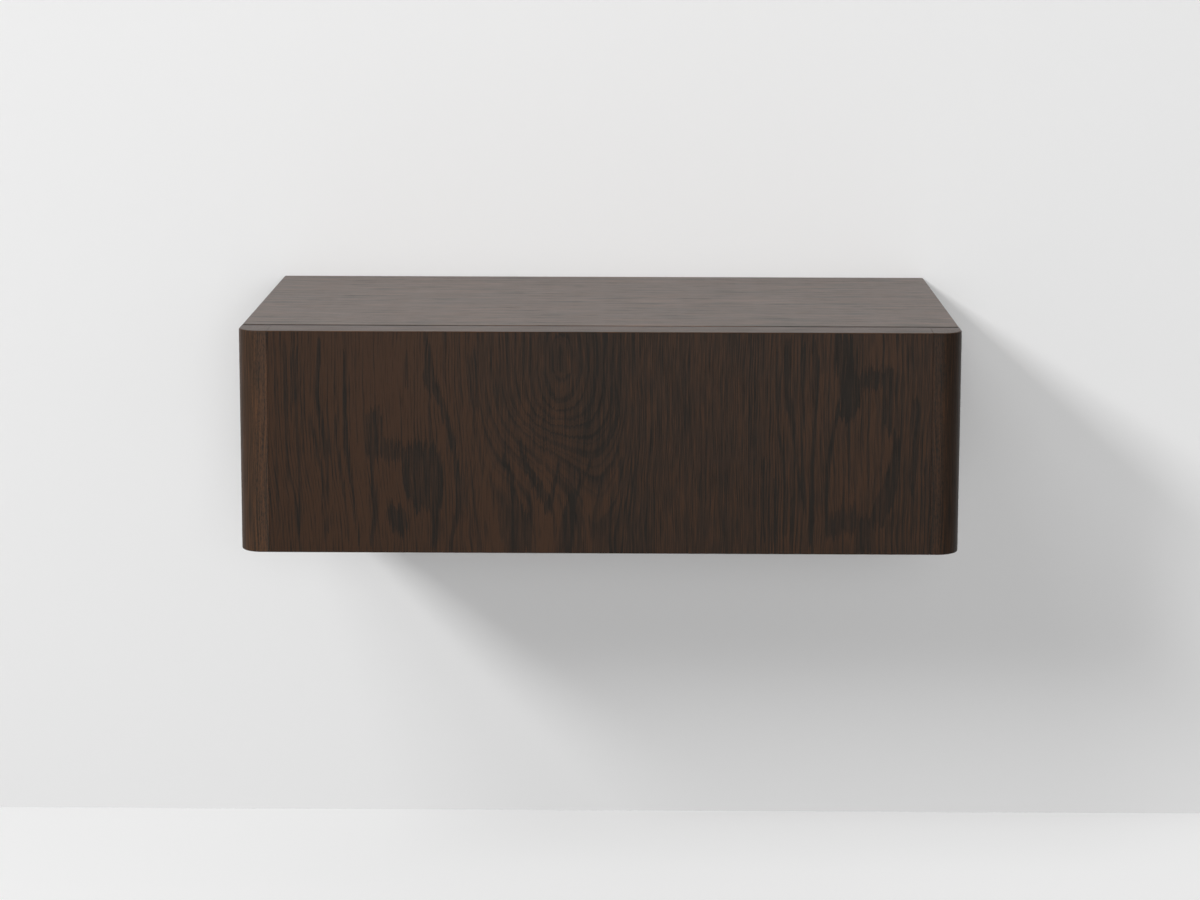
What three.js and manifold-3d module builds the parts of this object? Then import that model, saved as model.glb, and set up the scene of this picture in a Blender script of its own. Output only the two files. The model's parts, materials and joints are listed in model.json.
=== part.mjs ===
// A floating nightstand: a mitred oak case that hangs on a wall cleat, and one handle-less drawer
// that runs on full-extension ball-bearing slides.
//
// Millimetres, +Z up, +X to the right, +Y towards the wall. The origin is the centre of the wall
// cleat's back face, so the wall is the plane y = 0 and the drawer front faces -Y.

import * as THREE from 'three';
import { mergeVertices } from 'three/addons/utils/BufferGeometryUtils.js';
import Module from 'manifold-3d';

const manifold = await Module();
manifold.setup();

// Driving dimensions of the whole piece

const width = 610;
const depth = 350;
const height = 190;
const panelThickness = 19;
const frontThickness = 32;
const shadowGap = 4.5;
const caseEdgeRadius = 1.5;
const mitreAir = 0.1;

// Drawer front

const cornerRadius = 19;
const cornerPostWidth = 25.5;
const frontEdgeRadius = 1.2;
const seamAir = 0.2;
const pullLength = 220;
const pullWidth = 14;
const pullDepth = 15;
const pullLip = 13;

// Back panel, hanging cleats and lower rail

const recessDepth = 20;
const backThickness = 9;
const backGroove = 6;
const grooveAir = 0.15;
const cleatThickness = 18;
const caseCleatShare = 0.4;
const lowerRailShare = 0.12;
const wallCleatEndRoom = 20;
const cleatHoleRadius = 2.75;
const cleatSinkRadius = 5.5;
const cleatHoleOuterX = 203;
const cleatHoleInnerX = 80;

// Drawer box

const boxWall = 12;
const boxFloorRoom = 12;
const boxCeilingRoom = 14;
const boxRearRoom = 19;
const boxBottomThickness = 6;
const boxBottomGroove = 5;
const boxBottomRise = 10;
const pinCount = 5;
const pinTipWidth = 5;
const pinSlopeShare = 1 / 6;
const pinAir = 0.1;

// Slides: the sizes run across the slide from the case side, u, and up from its centre line

const slideSpace = 13;
const slideHeight = 45;
const slideSetback = 3;
const slideEndRoom = 20;
const slideCentreRise = 52;
const slideSheet = 1.2;
const cageSheet = 0.6;
const sheetAir = 0.4;
const innerSheetAir = 0.3;
const raceAir = 0.15;
const outerBallRadius = 1.9;
const innerBallRadius = 1.5;
const ballsPerRow = 5;
const cageEndRoom = 5;
const slideTipRoom = 0.9;
const slideLipSetback = 0.4;
const slideLipDepth = 2.3;
const cageTipRoom = 0.7;
const slideStopHeight = 20;
const slideStopAir = 0.3;
const slideSlotLength = 9;
const slideSlotWidth = 4.4;
const slideSlotOffset = 16;

// Release lever in the drawer member of each slide

const leverLength = 50;
const leverHeight = 6;
const leverThickness = 2.9;
const leverAir = 0.3;
const leverPivotInset = 4;
const leverHookRise = 2;
const leverTabDrop = 2.5;
const leverEndRoom = 2.5;
const rivetRadius = 1.5;
const rivetHeadRadius = 2.6;
const rivetHeadThickness = 0.6;
const rivetAir = 0.15;

// Screws: pan heads hold the front and the case cleat, flush heads hold the slides

const screwAir = 0.12;
const headSeatAir = 0.05;
const driveSlotWidth = 0.9;

const frontScrew = {
  shaftRadius: 2,
  shaftLength: 27,
  tipLength: 3,
  headRadius: 4.2,
  headHeight: 2.4,
  driveSpan: 4.6,
  driveDepth: 1.3,
};
const frontScrewEndInset = 81;
const frontScrewEdgeInset = 30;

const cleatScrew = {
  shaftRadius: 2,
  shaftLength: 22,
  tipLength: 3,
  headRadius: 4.2,
  headHeight: 2.4,
  driveSpan: 4.6,
  driveDepth: 1.3,
};
const cleatScrewDrop = 20;
const cleatScrewEndInset = 46;
const cleatScrewCount = 4;

const slideScrew = {
  shaftRadius: 1.5,
  shaftLength: 10.5,
  tipLength: 2,
  headRadius: 3,
  headHeight: 1.5,
  driveSpan: 3.2,
  driveDepth: 0.8,
};
const slideScrewInset = 22.5;

// Rubber bumpers on the case's front edges

const bumperRadius = 4;
const bumperAir = 0.3;
const bumperEndInset = 12;
const bumperChamfer = 0.5;

// Number of straight pieces in each round

const postArcSteps = 14;
const edgeArcSteps = 3;
const caseArcSteps = 2;
const screwSides = 12;
const slotArcSteps = 6;
const bumperSides = 16;
const ballSides = 8;
const ballRings = 4;

// One overrun serves all the cuts

const overrun = 2;

// Places worked out from the sizes above

const halfWidth = width / 2;
const innerHalfWidth = halfWidth - panelThickness;
const frontFaceY = -depth;
const frontBackY = frontFaceY + frontThickness;
const caseFrontY = frontBackY + shadowGap;
const recessY = -recessDepth;
const backPanelFrontY = recessY - backThickness;

// Down the back recess: the case cleat, the wall cleat, room to lift the case over it, and the rail
const innerHeight = height - 2 * panelThickness;
const caseCleatHeight = innerHeight * caseCleatShare;
const lowerRailHeight = innerHeight * lowerRailShare;
const caseCleatBackY = recessY + cleatThickness;
const hookLift = cleatThickness;
const wallCleatBackHeight = innerHeight - caseCleatHeight + caseCleatBackY - hookLift - lowerRailHeight;
const cleatBevelZ = wallCleatBackHeight / 2;
const wallCleatLowZ = cleatBevelZ - wallCleatBackHeight;
const ceilingZ = cleatBevelZ - caseCleatBackY + caseCleatHeight;
const topZ = ceilingZ + panelThickness;
const bottomZ = topZ - height;
const floorZ = bottomZ + panelThickness;

const boxHalfWidth = innerHalfWidth - slideSpace;
const boxInnerHalfWidth = boxHalfWidth - boxWall;
const boxLowZ = floorZ + boxFloorRoom;
const boxHighZ = ceilingZ - boxCeilingRoom;
const boxRearY = backPanelFrontY - boxRearRoom;
const boxDepth = boxRearY - frontBackY;

const slideLength = boxDepth - slideEndRoom;
const slideFrontY = caseFrontY + slideSetback;
const slideRearY = slideFrontY + slideLength;
const slideZ = boxLowZ + slideCentreRise;
const postSeamX = halfWidth - cornerPostWidth;

// Across one slide, from the case side towards the drawer side

const outerCageU = slideSheet + sheetAir;
const middleWebU = outerCageU + cageSheet + sheetAir;
const innerCageU = middleWebU + slideSheet + innerSheetAir;
const drawerTipU = innerCageU + cageSheet + innerSheetAir;
const drawerWebInnerU = slideSpace - slideSheet;
const middleTipU = drawerWebInnerU - slideTipRoom;
const cabinetTipU = middleTipU - slideLipSetback;
const outerCageTipU = cabinetTipU - slideSheet - cageTipRoom;
const outerBallU = (outerCageU + cageSheet + outerCageTipU) / 2;
const innerCageTipU = drawerWebInnerU - slideTipRoom - slideSheet;
const innerBallU = (innerCageU + cageSheet + innerCageTipU) / 2;

// Up from the slide's centre line

const cabinetHalf = slideHeight / 2;
const outerRaceHigh = cabinetHalf - slideSheet;
const outerBallZ = outerRaceHigh - raceAir - outerBallRadius;
const middleHalf = outerBallZ - outerBallRadius - raceAir;
const innerRaceHigh = middleHalf - slideSheet;
const innerBallZ = innerRaceHigh - raceAir - innerBallRadius;
const drawerHalf = innerBallZ - innerBallRadius - raceAir;

// A cage runs half as far as the members on its two sides move apart, and stays inside both
const cageLength = slideLength / 2 - 2 * cageEndRoom;
const cageFrontY = slideFrontY + slideLength / 4 + cageEndRoom;

const sides = [
  { name: 'left', sign: -1 },
  { name: 'right', sign: 1 },
];

// Finishes

const finish = (color, roughness, metalness) =>
  new THREE.MeshStandardMaterial({ color, roughness, metalness });
const darkOak = finish(0x3c2e28, 0.55, 0);
const darkOakTop = finish(0x55443b, 0.55, 0);
const paleBirch = finish(0xc9ab7d, 0.6, 0);
const zincSteel = finish(0xb4b8ba, 0.35, 0.9);
const screwSteel = finish(0x9c9d9a, 0.35, 0.9);
const blackPlastic = finish(0x1b1c1d, 0.5, 0);
const clearRubber = finish(0x8a8780, 0.6, 0);

// Solids

function solidOf(geometry) {
  const plain = geometry.clone();
  plain.deleteAttribute('normal');
  plain.deleteAttribute('uv');
  const merged = mergeVertices(plain);
  return new manifold.Manifold(new manifold.Mesh({
    numProp: 3,
    vertProperties: new Float32Array(merged.attributes.position.array),
    triVerts: new Uint32Array(merged.index.array),
  }));
}

function geometryOf(solid) {
  const mesh = solid.getMesh();
  const geometry = new THREE.BufferGeometry();
  geometry.setAttribute('position', new THREE.BufferAttribute(mesh.vertProperties, 3));
  geometry.setIndex(new THREE.BufferAttribute(mesh.triVerts, 1));
  return geometry;
}

function cut(geometry, tools) {
  return geometryOf(tools.reduce((solid, tool) => solid.subtract(solidOf(tool)), solidOf(geometry)));
}

function join(geometries) {
  const [first, ...rest] = geometries.map(solidOf);
  return geometryOf(rest.reduce((solid, piece) => solid.add(piece), first));
}

function block([x0, x1], [y0, y1], [z0, z1]) {
  const geometry = new THREE.BoxGeometry(Math.abs(x1 - x0), Math.abs(y1 - y0), Math.abs(z1 - z0));
  return geometry.translate((x0 + x1) / 2, (y0 + y1) / 2, (z0 + z1) / 2);
}

function extrusion(points, length) {
  const shape = new THREE.Shape(points.map(([a, b]) => new THREE.Vector2(a, b)));
  return new THREE.ExtrudeGeometry(shape, { depth: length, bevelEnabled: false });
}

// Points are [x, z], and the prism runs along Y
function prismAlongY(points, [from, to]) {
  return extrusion(points, to - from).rotateX(Math.PI / 2).translate(0, to, 0);
}

// Points are [y, z], and the prism runs along X
function prismAlongX(points, [x0, x1]) {
  const [from, to] = [Math.min(x0, x1), Math.max(x0, x1)];
  const turn = new THREE.Matrix4().makeBasis(
    new THREE.Vector3(0, 1, 0),
    new THREE.Vector3(0, 0, 1),
    new THREE.Vector3(1, 0, 0),
  );
  return extrusion(points, to - from).applyMatrix4(turn).translate(from, 0, 0);
}

// Points are [x, y], and the prism runs along Z
function prismAlongZ(points, [from, to]) {
  return extrusion(points, to - from).translate(0, 0, from);
}

function arc(centreA, centreB, radius, fromAngle, toAngle, steps) {
  return Array.from({ length: steps + 1 }, (_, i) => {
    const angle = fromAngle + (toAngle - fromAngle) * i / steps;
    return [centreA + radius * Math.cos(angle), centreB + radius * Math.sin(angle)];
  });
}

// A convex solid through equal-length rings of [x, y] points at rising heights
function loft(rings) {
  const count = rings[0].points.length;
  const positions = rings.flatMap(({ z, points }) => points.flatMap(([x, y]) => [x, y, z]));
  const triangles = [];
  for (let i = 1; i < count - 1; i += 1) {
    const last = (rings.length - 1) * count;
    triangles.push(0, i + 1, i, last, last + i, last + i + 1);
  }
  for (let ring = 0; ring < rings.length - 1; ring += 1) {
    for (let i = 0; i < count; i += 1) {
      const a = ring * count + i;
      const b = ring * count + (i + 1) % count;
      triangles.push(a, b, b + count, a, b + count, a + count);
    }
  }
  const geometry = new THREE.BufferGeometry();
  geometry.setAttribute('position', new THREE.Float32BufferAttribute(positions, 3));
  geometry.setIndex(triangles);
  return geometry;
}

// Heights of a board from low to high, with how far its rounded top and bottom edges draw in there
function easedHeights(low, high, radius) {
  const round = Array.from({ length: edgeArcSteps + 1 }, (_, i) => {
    const angle = i * Math.PI / 2 / edgeArcSteps;
    return { rise: radius * (1 - Math.sin(angle)), inset: radius * (1 - Math.cos(angle)) };
  });
  const lower = round.map(({ rise, inset }) => ({ z: low + rise, inset })).reverse();
  const upper = round.map(({ rise, inset }) => ({ z: high - rise, inset }));
  return [...lower, ...upper];
}

function meshOf(name, geometry, material) {
  const mesh = new THREE.Mesh(geometry, material);
  mesh.name = name;
  return mesh;
}

// Case: four panels, mitred at the corners, their long outer edges slightly rounded

function mitredCornerArc(fromAngle, toAngle) {
  const centre = [halfWidth - caseEdgeRadius, height / 2 - caseEdgeRadius];
  return arc(...centre, caseEdgeRadius, fromAngle, toAngle, caseArcSteps);
}

// The top panel's right half outline about the case's centre, from the inner corner to the top edge
function topHalfOutline() {
  const inner = [innerHalfWidth - mitreAir, height / 2 - panelThickness];
  const round = mitredCornerArc(Math.PI / 4, Math.PI / 2)
    .map(([x, z], i) => (i === 0 ? [x - mitreAir, z] : [x, z]));
  return [inner, ...round];
}

// The right side panel's upper half outline, from the outer face to the inner corner
function sideHalfOutline() {
  const round = mitredCornerArc(0, Math.PI / 4)
    .map(([x, z], i) => (i === caseArcSteps ? [x, z - mitreAir] : [x, z]));
  return [...round, [innerHalfWidth, height / 2 - panelThickness - mitreAir]];
}

const caseCentreZ = (topZ + bottomZ) / 2;
const caseSpanY = [caseFrontY, 0];

function backPanelGroove() {
  const reach = innerHalfWidth + backGroove;
  return block(
    [-reach, reach],
    [backPanelFrontY - grooveAir, recessY + grooveAir],
    [floorZ - backGroove, ceilingZ + backGroove],
  );
}

function horizontalPanel(sign) {
  const half = topHalfOutline();
  const mirrored = half.map(([x, z]) => [-x, z]).reverse();
  const outline = [...half, ...mirrored].map(([x, z]) => [x, caseCentreZ + sign * z]);
  return cut(prismAlongY(outline, caseSpanY), [backPanelGroove()]);
}

function sidePanel(side) {
  const half = sideHalfOutline();
  const mirrored = half.map(([x, z]) => [x, -z]).reverse();
  const outline = [...half, ...mirrored].map(([x, z]) => [side.sign * x, caseCentreZ + z]);
  const pilots = slideScrewYs.map((y) => slideScrewPilot(side, y, slideSheet, -1));
  return cut(prismAlongY(outline, caseSpanY), [backPanelGroove(), ...pilots]);
}

function backPanel() {
  const reachX = innerHalfWidth + backGroove - grooveAir;
  const reachZ = backGroove - grooveAir;
  const panel = block(
    [-reachX, reachX],
    [backPanelFrontY, recessY],
    [floorZ - reachZ, ceilingZ + reachZ],
  );
  return cut(panel, cleatScrewXs.map((x) => cleatScrewPilot(x)));
}

// Cleats: two beveled boards, the case's hooked over the wall's

function wallCleat() {
  const tipZ = cleatBevelZ + cleatThickness;
  const halfLength = innerHalfWidth - wallCleatEndRoom;
  const outline = [
    [-cleatThickness, wallCleatLowZ],
    [0, wallCleatLowZ],
    [0, cleatBevelZ],
    [-cleatThickness, tipZ],
  ];
  const holes = [-cleatHoleOuterX, -cleatHoleInnerX, cleatHoleInnerX, cleatHoleOuterX].flatMap((x) => [
    cylinderAlongY([x, 0], cleatHoleRadius, cleatHoleRadius, [-cleatThickness - overrun, overrun]),
    cylinderAlongY(
      [x, 0],
      cleatSinkRadius,
      cleatHoleRadius,
      [-cleatThickness, cleatSinkRadius - cleatHoleRadius - cleatThickness],
    ),
  ]);
  return cut(prismAlongX(outline, [-halfLength, halfLength]), holes);
}

function caseCleat() {
  const outline = [
    [recessY, ceilingZ],
    [recessY, cleatBevelZ - recessY],
    [caseCleatBackY, cleatBevelZ - caseCleatBackY],
    [caseCleatBackY, ceilingZ],
  ];
  const board = prismAlongX(outline, [-innerHalfWidth, innerHalfWidth]);
  return cut(board, cleatScrewXs.map((x) => cleatScrewPilot(x)));
}

function lowerRail() {
  return block([-innerHalfWidth, innerHalfWidth], [recessY, 0], [floorZ, floorZ + lowerRailHeight]);
}

// Round tools

function cylinderAlongY([x, z], radiusAtFrom, radiusAtTo, [from, to], sideCount = screwSides) {
  const geometry = new THREE.CylinderGeometry(radiusAtTo, radiusAtFrom, to - from, sideCount);
  return geometry.translate(x, (from + to) / 2, z);
}

function cylinderAlongX([y, z], radiusAtFrom, radiusAtTo, [from, to], sideCount = screwSides) {
  const geometry = new THREE.CylinderGeometry(radiusAtTo, radiusAtFrom, Math.abs(to - from), sideCount);
  const turn = to > from ? -Math.PI / 2 : Math.PI / 2;
  return geometry.rotateZ(turn).translate((from + to) / 2, y, z);
}

// Screws: built along Y with the head's seat at the origin and the point towards +Y

function screwGeometry(size, profile) {
  const body = new THREE.LatheGeometry(
    profile.map(([r, y]) => new THREE.Vector2(r, y)),
    screwSides,
  );
  const headTop = profile[0][1];
  const half = size.driveSpan / 2;
  const slot = [headTop - overrun, headTop + size.driveDepth];
  const narrow = driveSlotWidth / 2;
  return cut(body, [
    block([-half, half], slot, [-narrow, narrow]),
    block([-narrow, narrow], slot, [-half, half]),
  ]);
}

// The profiles run from the middle of the head to the point
function panHeadProfile(size) {
  const { shaftRadius, shaftLength, tipLength, headRadius, headHeight } = size;
  const crownShares = [[0, 1], [0.5, 0.95], [0.82, 0.75], [1, 0.35], [1, 0]];
  return [
    ...crownShares.map(([r, h]) => [headRadius * r, -headSeatAir - headHeight * h]),
    [shaftRadius, -headSeatAir],
    [shaftRadius, shaftLength - tipLength],
    [0, shaftLength],
  ];
}

function flushHeadProfile(size) {
  const { shaftRadius, shaftLength, tipLength, headRadius, headHeight } = size;
  return [
    [0, headSeatAir],
    [headRadius, headSeatAir],
    [shaftRadius, headHeight],
    [shaftRadius, shaftLength - tipLength],
    [0, shaftLength],
  ];
}

// Front screws go from inside the drawer box into the front panel, pointing towards -Y

const frontScrewX = boxInnerHalfWidth - frontScrewEndInset;
const frontScrewZs = [boxLowZ + frontScrewEdgeInset, boxHighZ - frontScrewEdgeInset];
const frontScrewPlaces = [-frontScrewX, frontScrewX].flatMap((x) => frontScrewZs.map((z) => [x, z]));
const frontScrewSeatY = frontBackY + boxWall;

function frontScrewPilot(place) {
  const radius = frontScrew.shaftRadius + screwAir;
  const end = frontScrewSeatY - frontScrew.shaftLength - screwAir;
  return cylinderAlongY(place, radius, radius, [end, frontScrewSeatY + overrun]);
}

// Cleat screws go from inside the case through the back panel into the case cleat

const cleatScrewReach = innerHalfWidth - cleatScrewEndInset;
const cleatScrewXs = Array.from({ length: cleatScrewCount }, (_, i) => (
  cleatScrewReach * (2 * i / (cleatScrewCount - 1) - 1)
));
const cleatScrewZ = ceilingZ - cleatScrewDrop;

function cleatScrewPilot(x) {
  const radius = cleatScrew.shaftRadius + screwAir;
  const end = backPanelFrontY + cleatScrew.shaftLength + screwAir;
  return cylinderAlongY([x, cleatScrewZ], radius, radius, [backPanelFrontY - overrun, end]);
}

// Slides

const slideScrewYs = [slideFrontY + slideScrewInset, slideRearY - slideScrewInset];

function slideX(side, u) {
  return side.sign * (innerHalfWidth - u);
}

// A slide screw's hole starts at the web's inner face, at u, and runs towards the wood: way is -1
// for the case side and 1 for the drawer side
function slideScrewPilot(side, y, u, way) {
  const along = (distance) => slideX(side, u + way * distance);
  const radius = slideScrew.shaftRadius + screwAir;
  const sink = slideScrew.headRadius + screwAir;
  const shaft = cylinderAlongX([y, slideZ], radius, radius, [
    along(-overrun),
    along(slideScrew.shaftLength + screwAir),
  ]);
  const cone = cylinderAlongX([y, slideZ], sink, radius, [along(0), along(slideScrew.headHeight)]);
  return join([shaft, cone]);
}

// A channel's section from its web to its tips, which may be turned in by a lip
function channelOutline(side, web, tip, half, sheet, lip) {
  const way = Math.sign(tip - web);
  const inner = half - sheet;
  const tipInner = tip - way * sheet;
  const plainTip = [[tip, -inner]];
  const lippedTip = [[tip, -inner + lip], [tipInner, -inner + lip], [tipInner, -inner]];
  const lowerTip = lip > 0 ? lippedTip : plainTip;
  const lower = [[web, -half], [tip, -half], ...lowerTip, [web + way * sheet, -inner]];
  const upper = lower.map(([u, z]) => [u, -z]).reverse();
  return [...lower, ...upper].map(([u, z]) => [slideX(side, u), slideZ + z]);
}

// Long holes beside the screws, for setting the slide in or out before its screws are driven
function slideSlots(side, u, way) {
  const radius = slideSlotWidth / 2;
  const reach = slideSlotLength / 2 - radius;
  return slideScrewYs.map((y, i) => {
    const centre = y + (i === 0 ? slideSlotOffset : -slideSlotOffset);
    const outline = [
      ...arc(centre + reach, slideZ, radius, -Math.PI / 2, Math.PI / 2, slotArcSteps),
      ...arc(centre - reach, slideZ, radius, Math.PI / 2, Math.PI * 1.5, slotArcSteps),
    ];
    const through = [slideX(side, u - way * overrun), slideX(side, u + way * (slideSheet + overrun))];
    return prismAlongX(outline, through);
  });
}

function cabinetMember(side) {
  const outline = channelOutline(side, 0, cabinetTipU, cabinetHalf, slideSheet, slideLipDepth);
  const stop = block(
    [slideX(side, 0), slideX(side, drawerTipU)],
    [slideRearY + slideStopAir, slideRearY + slideStopAir + slideSheet],
    [slideZ - slideStopHeight / 2, slideZ + slideStopHeight / 2],
  );
  const foot = block(
    [slideX(side, 0), slideX(side, slideSheet)],
    [slideRearY - overrun, slideRearY + slideStopAir + slideSheet],
    [slideZ - slideStopHeight / 2, slideZ + slideStopHeight / 2],
  );
  const channel = join([prismAlongY(outline, [slideFrontY, slideRearY]), foot, stop]);
  const pilots = slideScrewYs.map((y) => slideScrewPilot(side, y, slideSheet, -1));
  return cut(channel, [...pilots, ...slideSlots(side, slideSheet, -1)]);
}

function middleMember(side) {
  const outline = channelOutline(side, middleWebU, middleTipU, middleHalf, slideSheet, 0);
  return prismAlongY(outline, [slideFrontY, slideRearY]);
}

const leverRearY = slideFrontY + slideLength / 2 - leverEndRoom;
const leverFrontY = leverRearY - leverLength;
const leverPivotY = leverFrontY + leverPivotInset;
const leverOuterU = drawerWebInnerU - leverAir;
const leverInnerU = leverOuterU - leverThickness;

function drawerMember(side) {
  const outline = channelOutline(side, slideSpace, drawerTipU, drawerHalf, slideSheet, 0);
  const place = [leverPivotY, slideZ];
  const headU = leverInnerU - leverAir;
  const rivet = cylinderAlongX(place, rivetRadius, rivetRadius, [
    slideX(side, headU),
    slideX(side, drawerWebInnerU + slideSheet / 2),
  ]);
  const rivetHead = cylinderAlongX(place, rivetHeadRadius, rivetHeadRadius, [
    slideX(side, headU - rivetHeadThickness),
    slideX(side, headU),
  ]);
  const channel = join([prismAlongY(outline, [slideFrontY, slideRearY]), rivet, rivetHead]);
  const pilots = slideScrewYs.map((y) => slideScrewPilot(side, y, drawerWebInnerU, 1));
  return cut(channel, [...pilots, ...slideSlots(side, drawerWebInnerU, 1)]);
}

function ballCage(side, { web, tip, ballU, ballZ, ballRadius }) {
  const outline = channelOutline(side, web, tip, ballZ + cageSheet / 2, cageSheet, 0);
  const strip = prismAlongY(outline, [cageFrontY, cageFrontY + cageLength]);
  const pitch = cageLength / ballsPerRow;
  const balls = [-1, 1].flatMap((row) => Array.from({ length: ballsPerRow }, (_, i) => (
    new THREE.SphereGeometry(ballRadius, ballSides, ballRings).translate(
      slideX(side, ballU),
      cageFrontY + pitch * (i + 0.5),
      slideZ + row * ballZ,
    )
  )));
  return join([strip, ...balls]);
}

const outerCage = {
  web: outerCageU,
  tip: outerCageTipU,
  ballU: outerBallU,
  ballZ: outerBallZ,
  ballRadius: outerBallRadius,
};
const innerCage = {
  web: innerCageU,
  tip: innerCageTipU,
  ballU: innerBallU,
  ballZ: innerBallZ,
  ballRadius: innerBallRadius,
};

// The lever turns on its rivet: the hook end rises on the left slide and drops on the right one
function releaseLever(side) {
  const up = -side.sign;
  const half = leverHeight / 2;
  const hookStart = leverRearY - leverHeight;
  const tabEnd = leverPivotY + 2 * leverHeight;
  const nose = arc(leverPivotY, 0, half, Math.PI * 1.5, Math.PI / 2, slotArcSteps);
  const outline = [
    ...nose,
    [hookStart, half],
    [leverRearY, half + leverHookRise],
    [leverRearY, -half / 2],
    [tabEnd + leverHeight, -half / 2],
    [tabEnd, -half - leverTabDrop],
    [leverPivotY + leverHeight, -half - leverTabDrop],
    [leverPivotY + half, -half],
  ].map(([y, z]) => [y, slideZ + up * z]);
  const body = prismAlongX(outline, [slideX(side, leverInnerU), slideX(side, leverOuterU)]);
  const hole = cylinderAlongX([leverPivotY, slideZ], rivetRadius + rivetAir, rivetRadius + rivetAir, [
    slideX(side, leverInnerU - overrun),
    slideX(side, leverOuterU + overrun),
  ]);
  return cut(body, [hole]);
}

// Drawer box

const boxSpanZ = [boxLowZ, boxHighZ];
const bottomLowZ = boxLowZ + boxBottomRise;

function boxBottomSlot() {
  const reachX = boxInnerHalfWidth + boxBottomGroove;
  return block(
    [-reachX, reachX],
    [frontBackY + boxWall - boxBottomGroove, boxRearY - boxWall + boxBottomGroove],
    [bottomLowZ - grooveAir, bottomLowZ + boxBottomThickness + grooveAir],
  );
}

// Dovetail pins stand on both ends of the box's front and back, and sit in sockets in its sides.
// A pin is narrow at the side's end, at endY, and wider one wall thickness in, towards way. A
// socket is wider by its air and is cut past both faces of the side, by past.
function dovetails(side, endY, way, air, past) {
  const pitch = (boxHighZ - boxLowZ) / pinCount;
  const tip = pinTipWidth / 2 + air;
  const root = tip + boxWall * pinSlopeShare;
  return Array.from({ length: pinCount }, (_, i) => {
    const z = boxLowZ + pitch * (i + 0.5);
    const outline = [
      [endY, z - tip],
      [endY, z + tip],
      [endY + way * (boxWall + air), z + root],
      [endY + way * (boxWall + air), z - root],
    ];
    return prismAlongX(outline, [
      side.sign * (boxInnerHalfWidth - past),
      side.sign * (boxHalfWidth + past),
    ]);
  });
}

function boxSide(side) {
  const board = block(
    [side.sign * boxInnerHalfWidth, side.sign * boxHalfWidth],
    [frontBackY, boxRearY],
    boxSpanZ,
  );
  const pilots = slideScrewYs.map((y) => slideScrewPilot(side, y, drawerWebInnerU, 1));
  const sockets = [
    ...dovetails(side, frontBackY, 1, pinAir, overrun),
    ...dovetails(side, boxRearY, -1, pinAir, overrun),
  ];
  return cut(board, [boxBottomSlot(), ...pilots, ...sockets]);
}

function boxEnd(endY, way, pilots) {
  const spanY = [endY, endY + way * boxWall];
  const board = block([-boxInnerHalfWidth, boxInnerHalfWidth], spanY, boxSpanZ);
  const pins = sides.flatMap((side) => dovetails(side, endY, way, 0, 0));
  return cut(join([board, ...pins]), [boxBottomSlot(), ...pilots]);
}

function boxBottom() {
  const reachX = boxInnerHalfWidth + boxBottomGroove - grooveAir;
  const reachY = boxBottomGroove - grooveAir;
  return block(
    [-reachX, reachX],
    [frontBackY + boxWall - reachY, boxRearY - boxWall + reachY],
    [bottomLowZ, bottomLowZ + boxBottomThickness],
  );
}

// Drawer front: a veneered panel between two rounded solid posts, with a finger groove below

function pullGroove() {
  const radius = pullWidth / 2;
  const centreY = frontFaceY + pullLip + radius;
  const endX = pullLength / 2 - radius;
  const outline = [
    ...arc(endX, centreY, radius, -Math.PI / 2, Math.PI / 2, slotArcSteps),
    ...arc(-endX, centreY, radius, Math.PI / 2, Math.PI * 1.5, slotArcSteps),
  ];
  return prismAlongZ(outline, [bottomZ - overrun, bottomZ + pullDepth]);
}

function frontPanel() {
  const reach = postSeamX - seamAir / 2;
  const rings = easedHeights(bottomZ, topZ, frontEdgeRadius).map(({ z, inset }) => ({
    z,
    points: [
      [-reach, frontFaceY + inset],
      [reach, frontFaceY + inset],
      [reach, frontBackY],
      [-reach, frontBackY],
    ],
  }));
  return cut(loft(rings), [pullGroove(), ...frontScrewPlaces.map(frontScrewPilot)]);
}

function frontPost(side) {
  const centreX = halfWidth - cornerRadius;
  const centreY = frontFaceY + cornerRadius;
  const seamX = postSeamX + seamAir / 2;
  const rings = easedHeights(bottomZ, topZ, frontEdgeRadius).map(({ z, inset }) => {
    const round = arc(centreX, centreY, cornerRadius - inset, -Math.PI / 2, 0, postArcSteps);
    const right = [
      [seamX, frontFaceY + inset],
      ...round,
      [halfWidth - inset, frontBackY],
      [seamX, frontBackY],
    ];
    const points = side.sign > 0 ? right : right.map(([x, y]) => [-x, y]).reverse();
    return { z, points };
  });
  return loft(rings);
}

// A bumper sits on the case's front edge, and the closed drawer front comes to rest on it
function bumper() {
  const thickness = shadowGap - bumperAir;
  const profile = [
    [0, -thickness],
    [bumperRadius - bumperChamfer, -thickness],
    [bumperRadius, bumperChamfer - thickness],
    [bumperRadius, 0],
    [0, 0],
  ];
  return new THREE.LatheGeometry(profile.map(([r, y]) => new THREE.Vector2(r, y)), bumperSides);
}

// Assembly

const nightstand = new THREE.Group();
const add = (name, geometry, material) => {
  const mesh = meshOf(name, geometry, material);
  nightstand.add(mesh);
  return mesh;
};

add('case_top', horizontalPanel(1), darkOakTop);
add('case_bottom', horizontalPanel(-1), darkOak);
for (const side of sides) {
  add(`case_side_${side.name}`, sidePanel(side), darkOak);
}
add('back_panel', backPanel(), darkOak);
add('case_cleat', caseCleat(), paleBirch);
add('lower_rail', lowerRail(), paleBirch);
add('wall_cleat', wallCleat(), paleBirch);

const panGeometry = screwGeometry(cleatScrew, panHeadProfile(cleatScrew));
cleatScrewXs.forEach((x, i) => {
  add(`cleat_screw_${i + 1}`, panGeometry, screwSteel).position.set(x, backPanelFrontY, cleatScrewZ);
});

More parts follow.
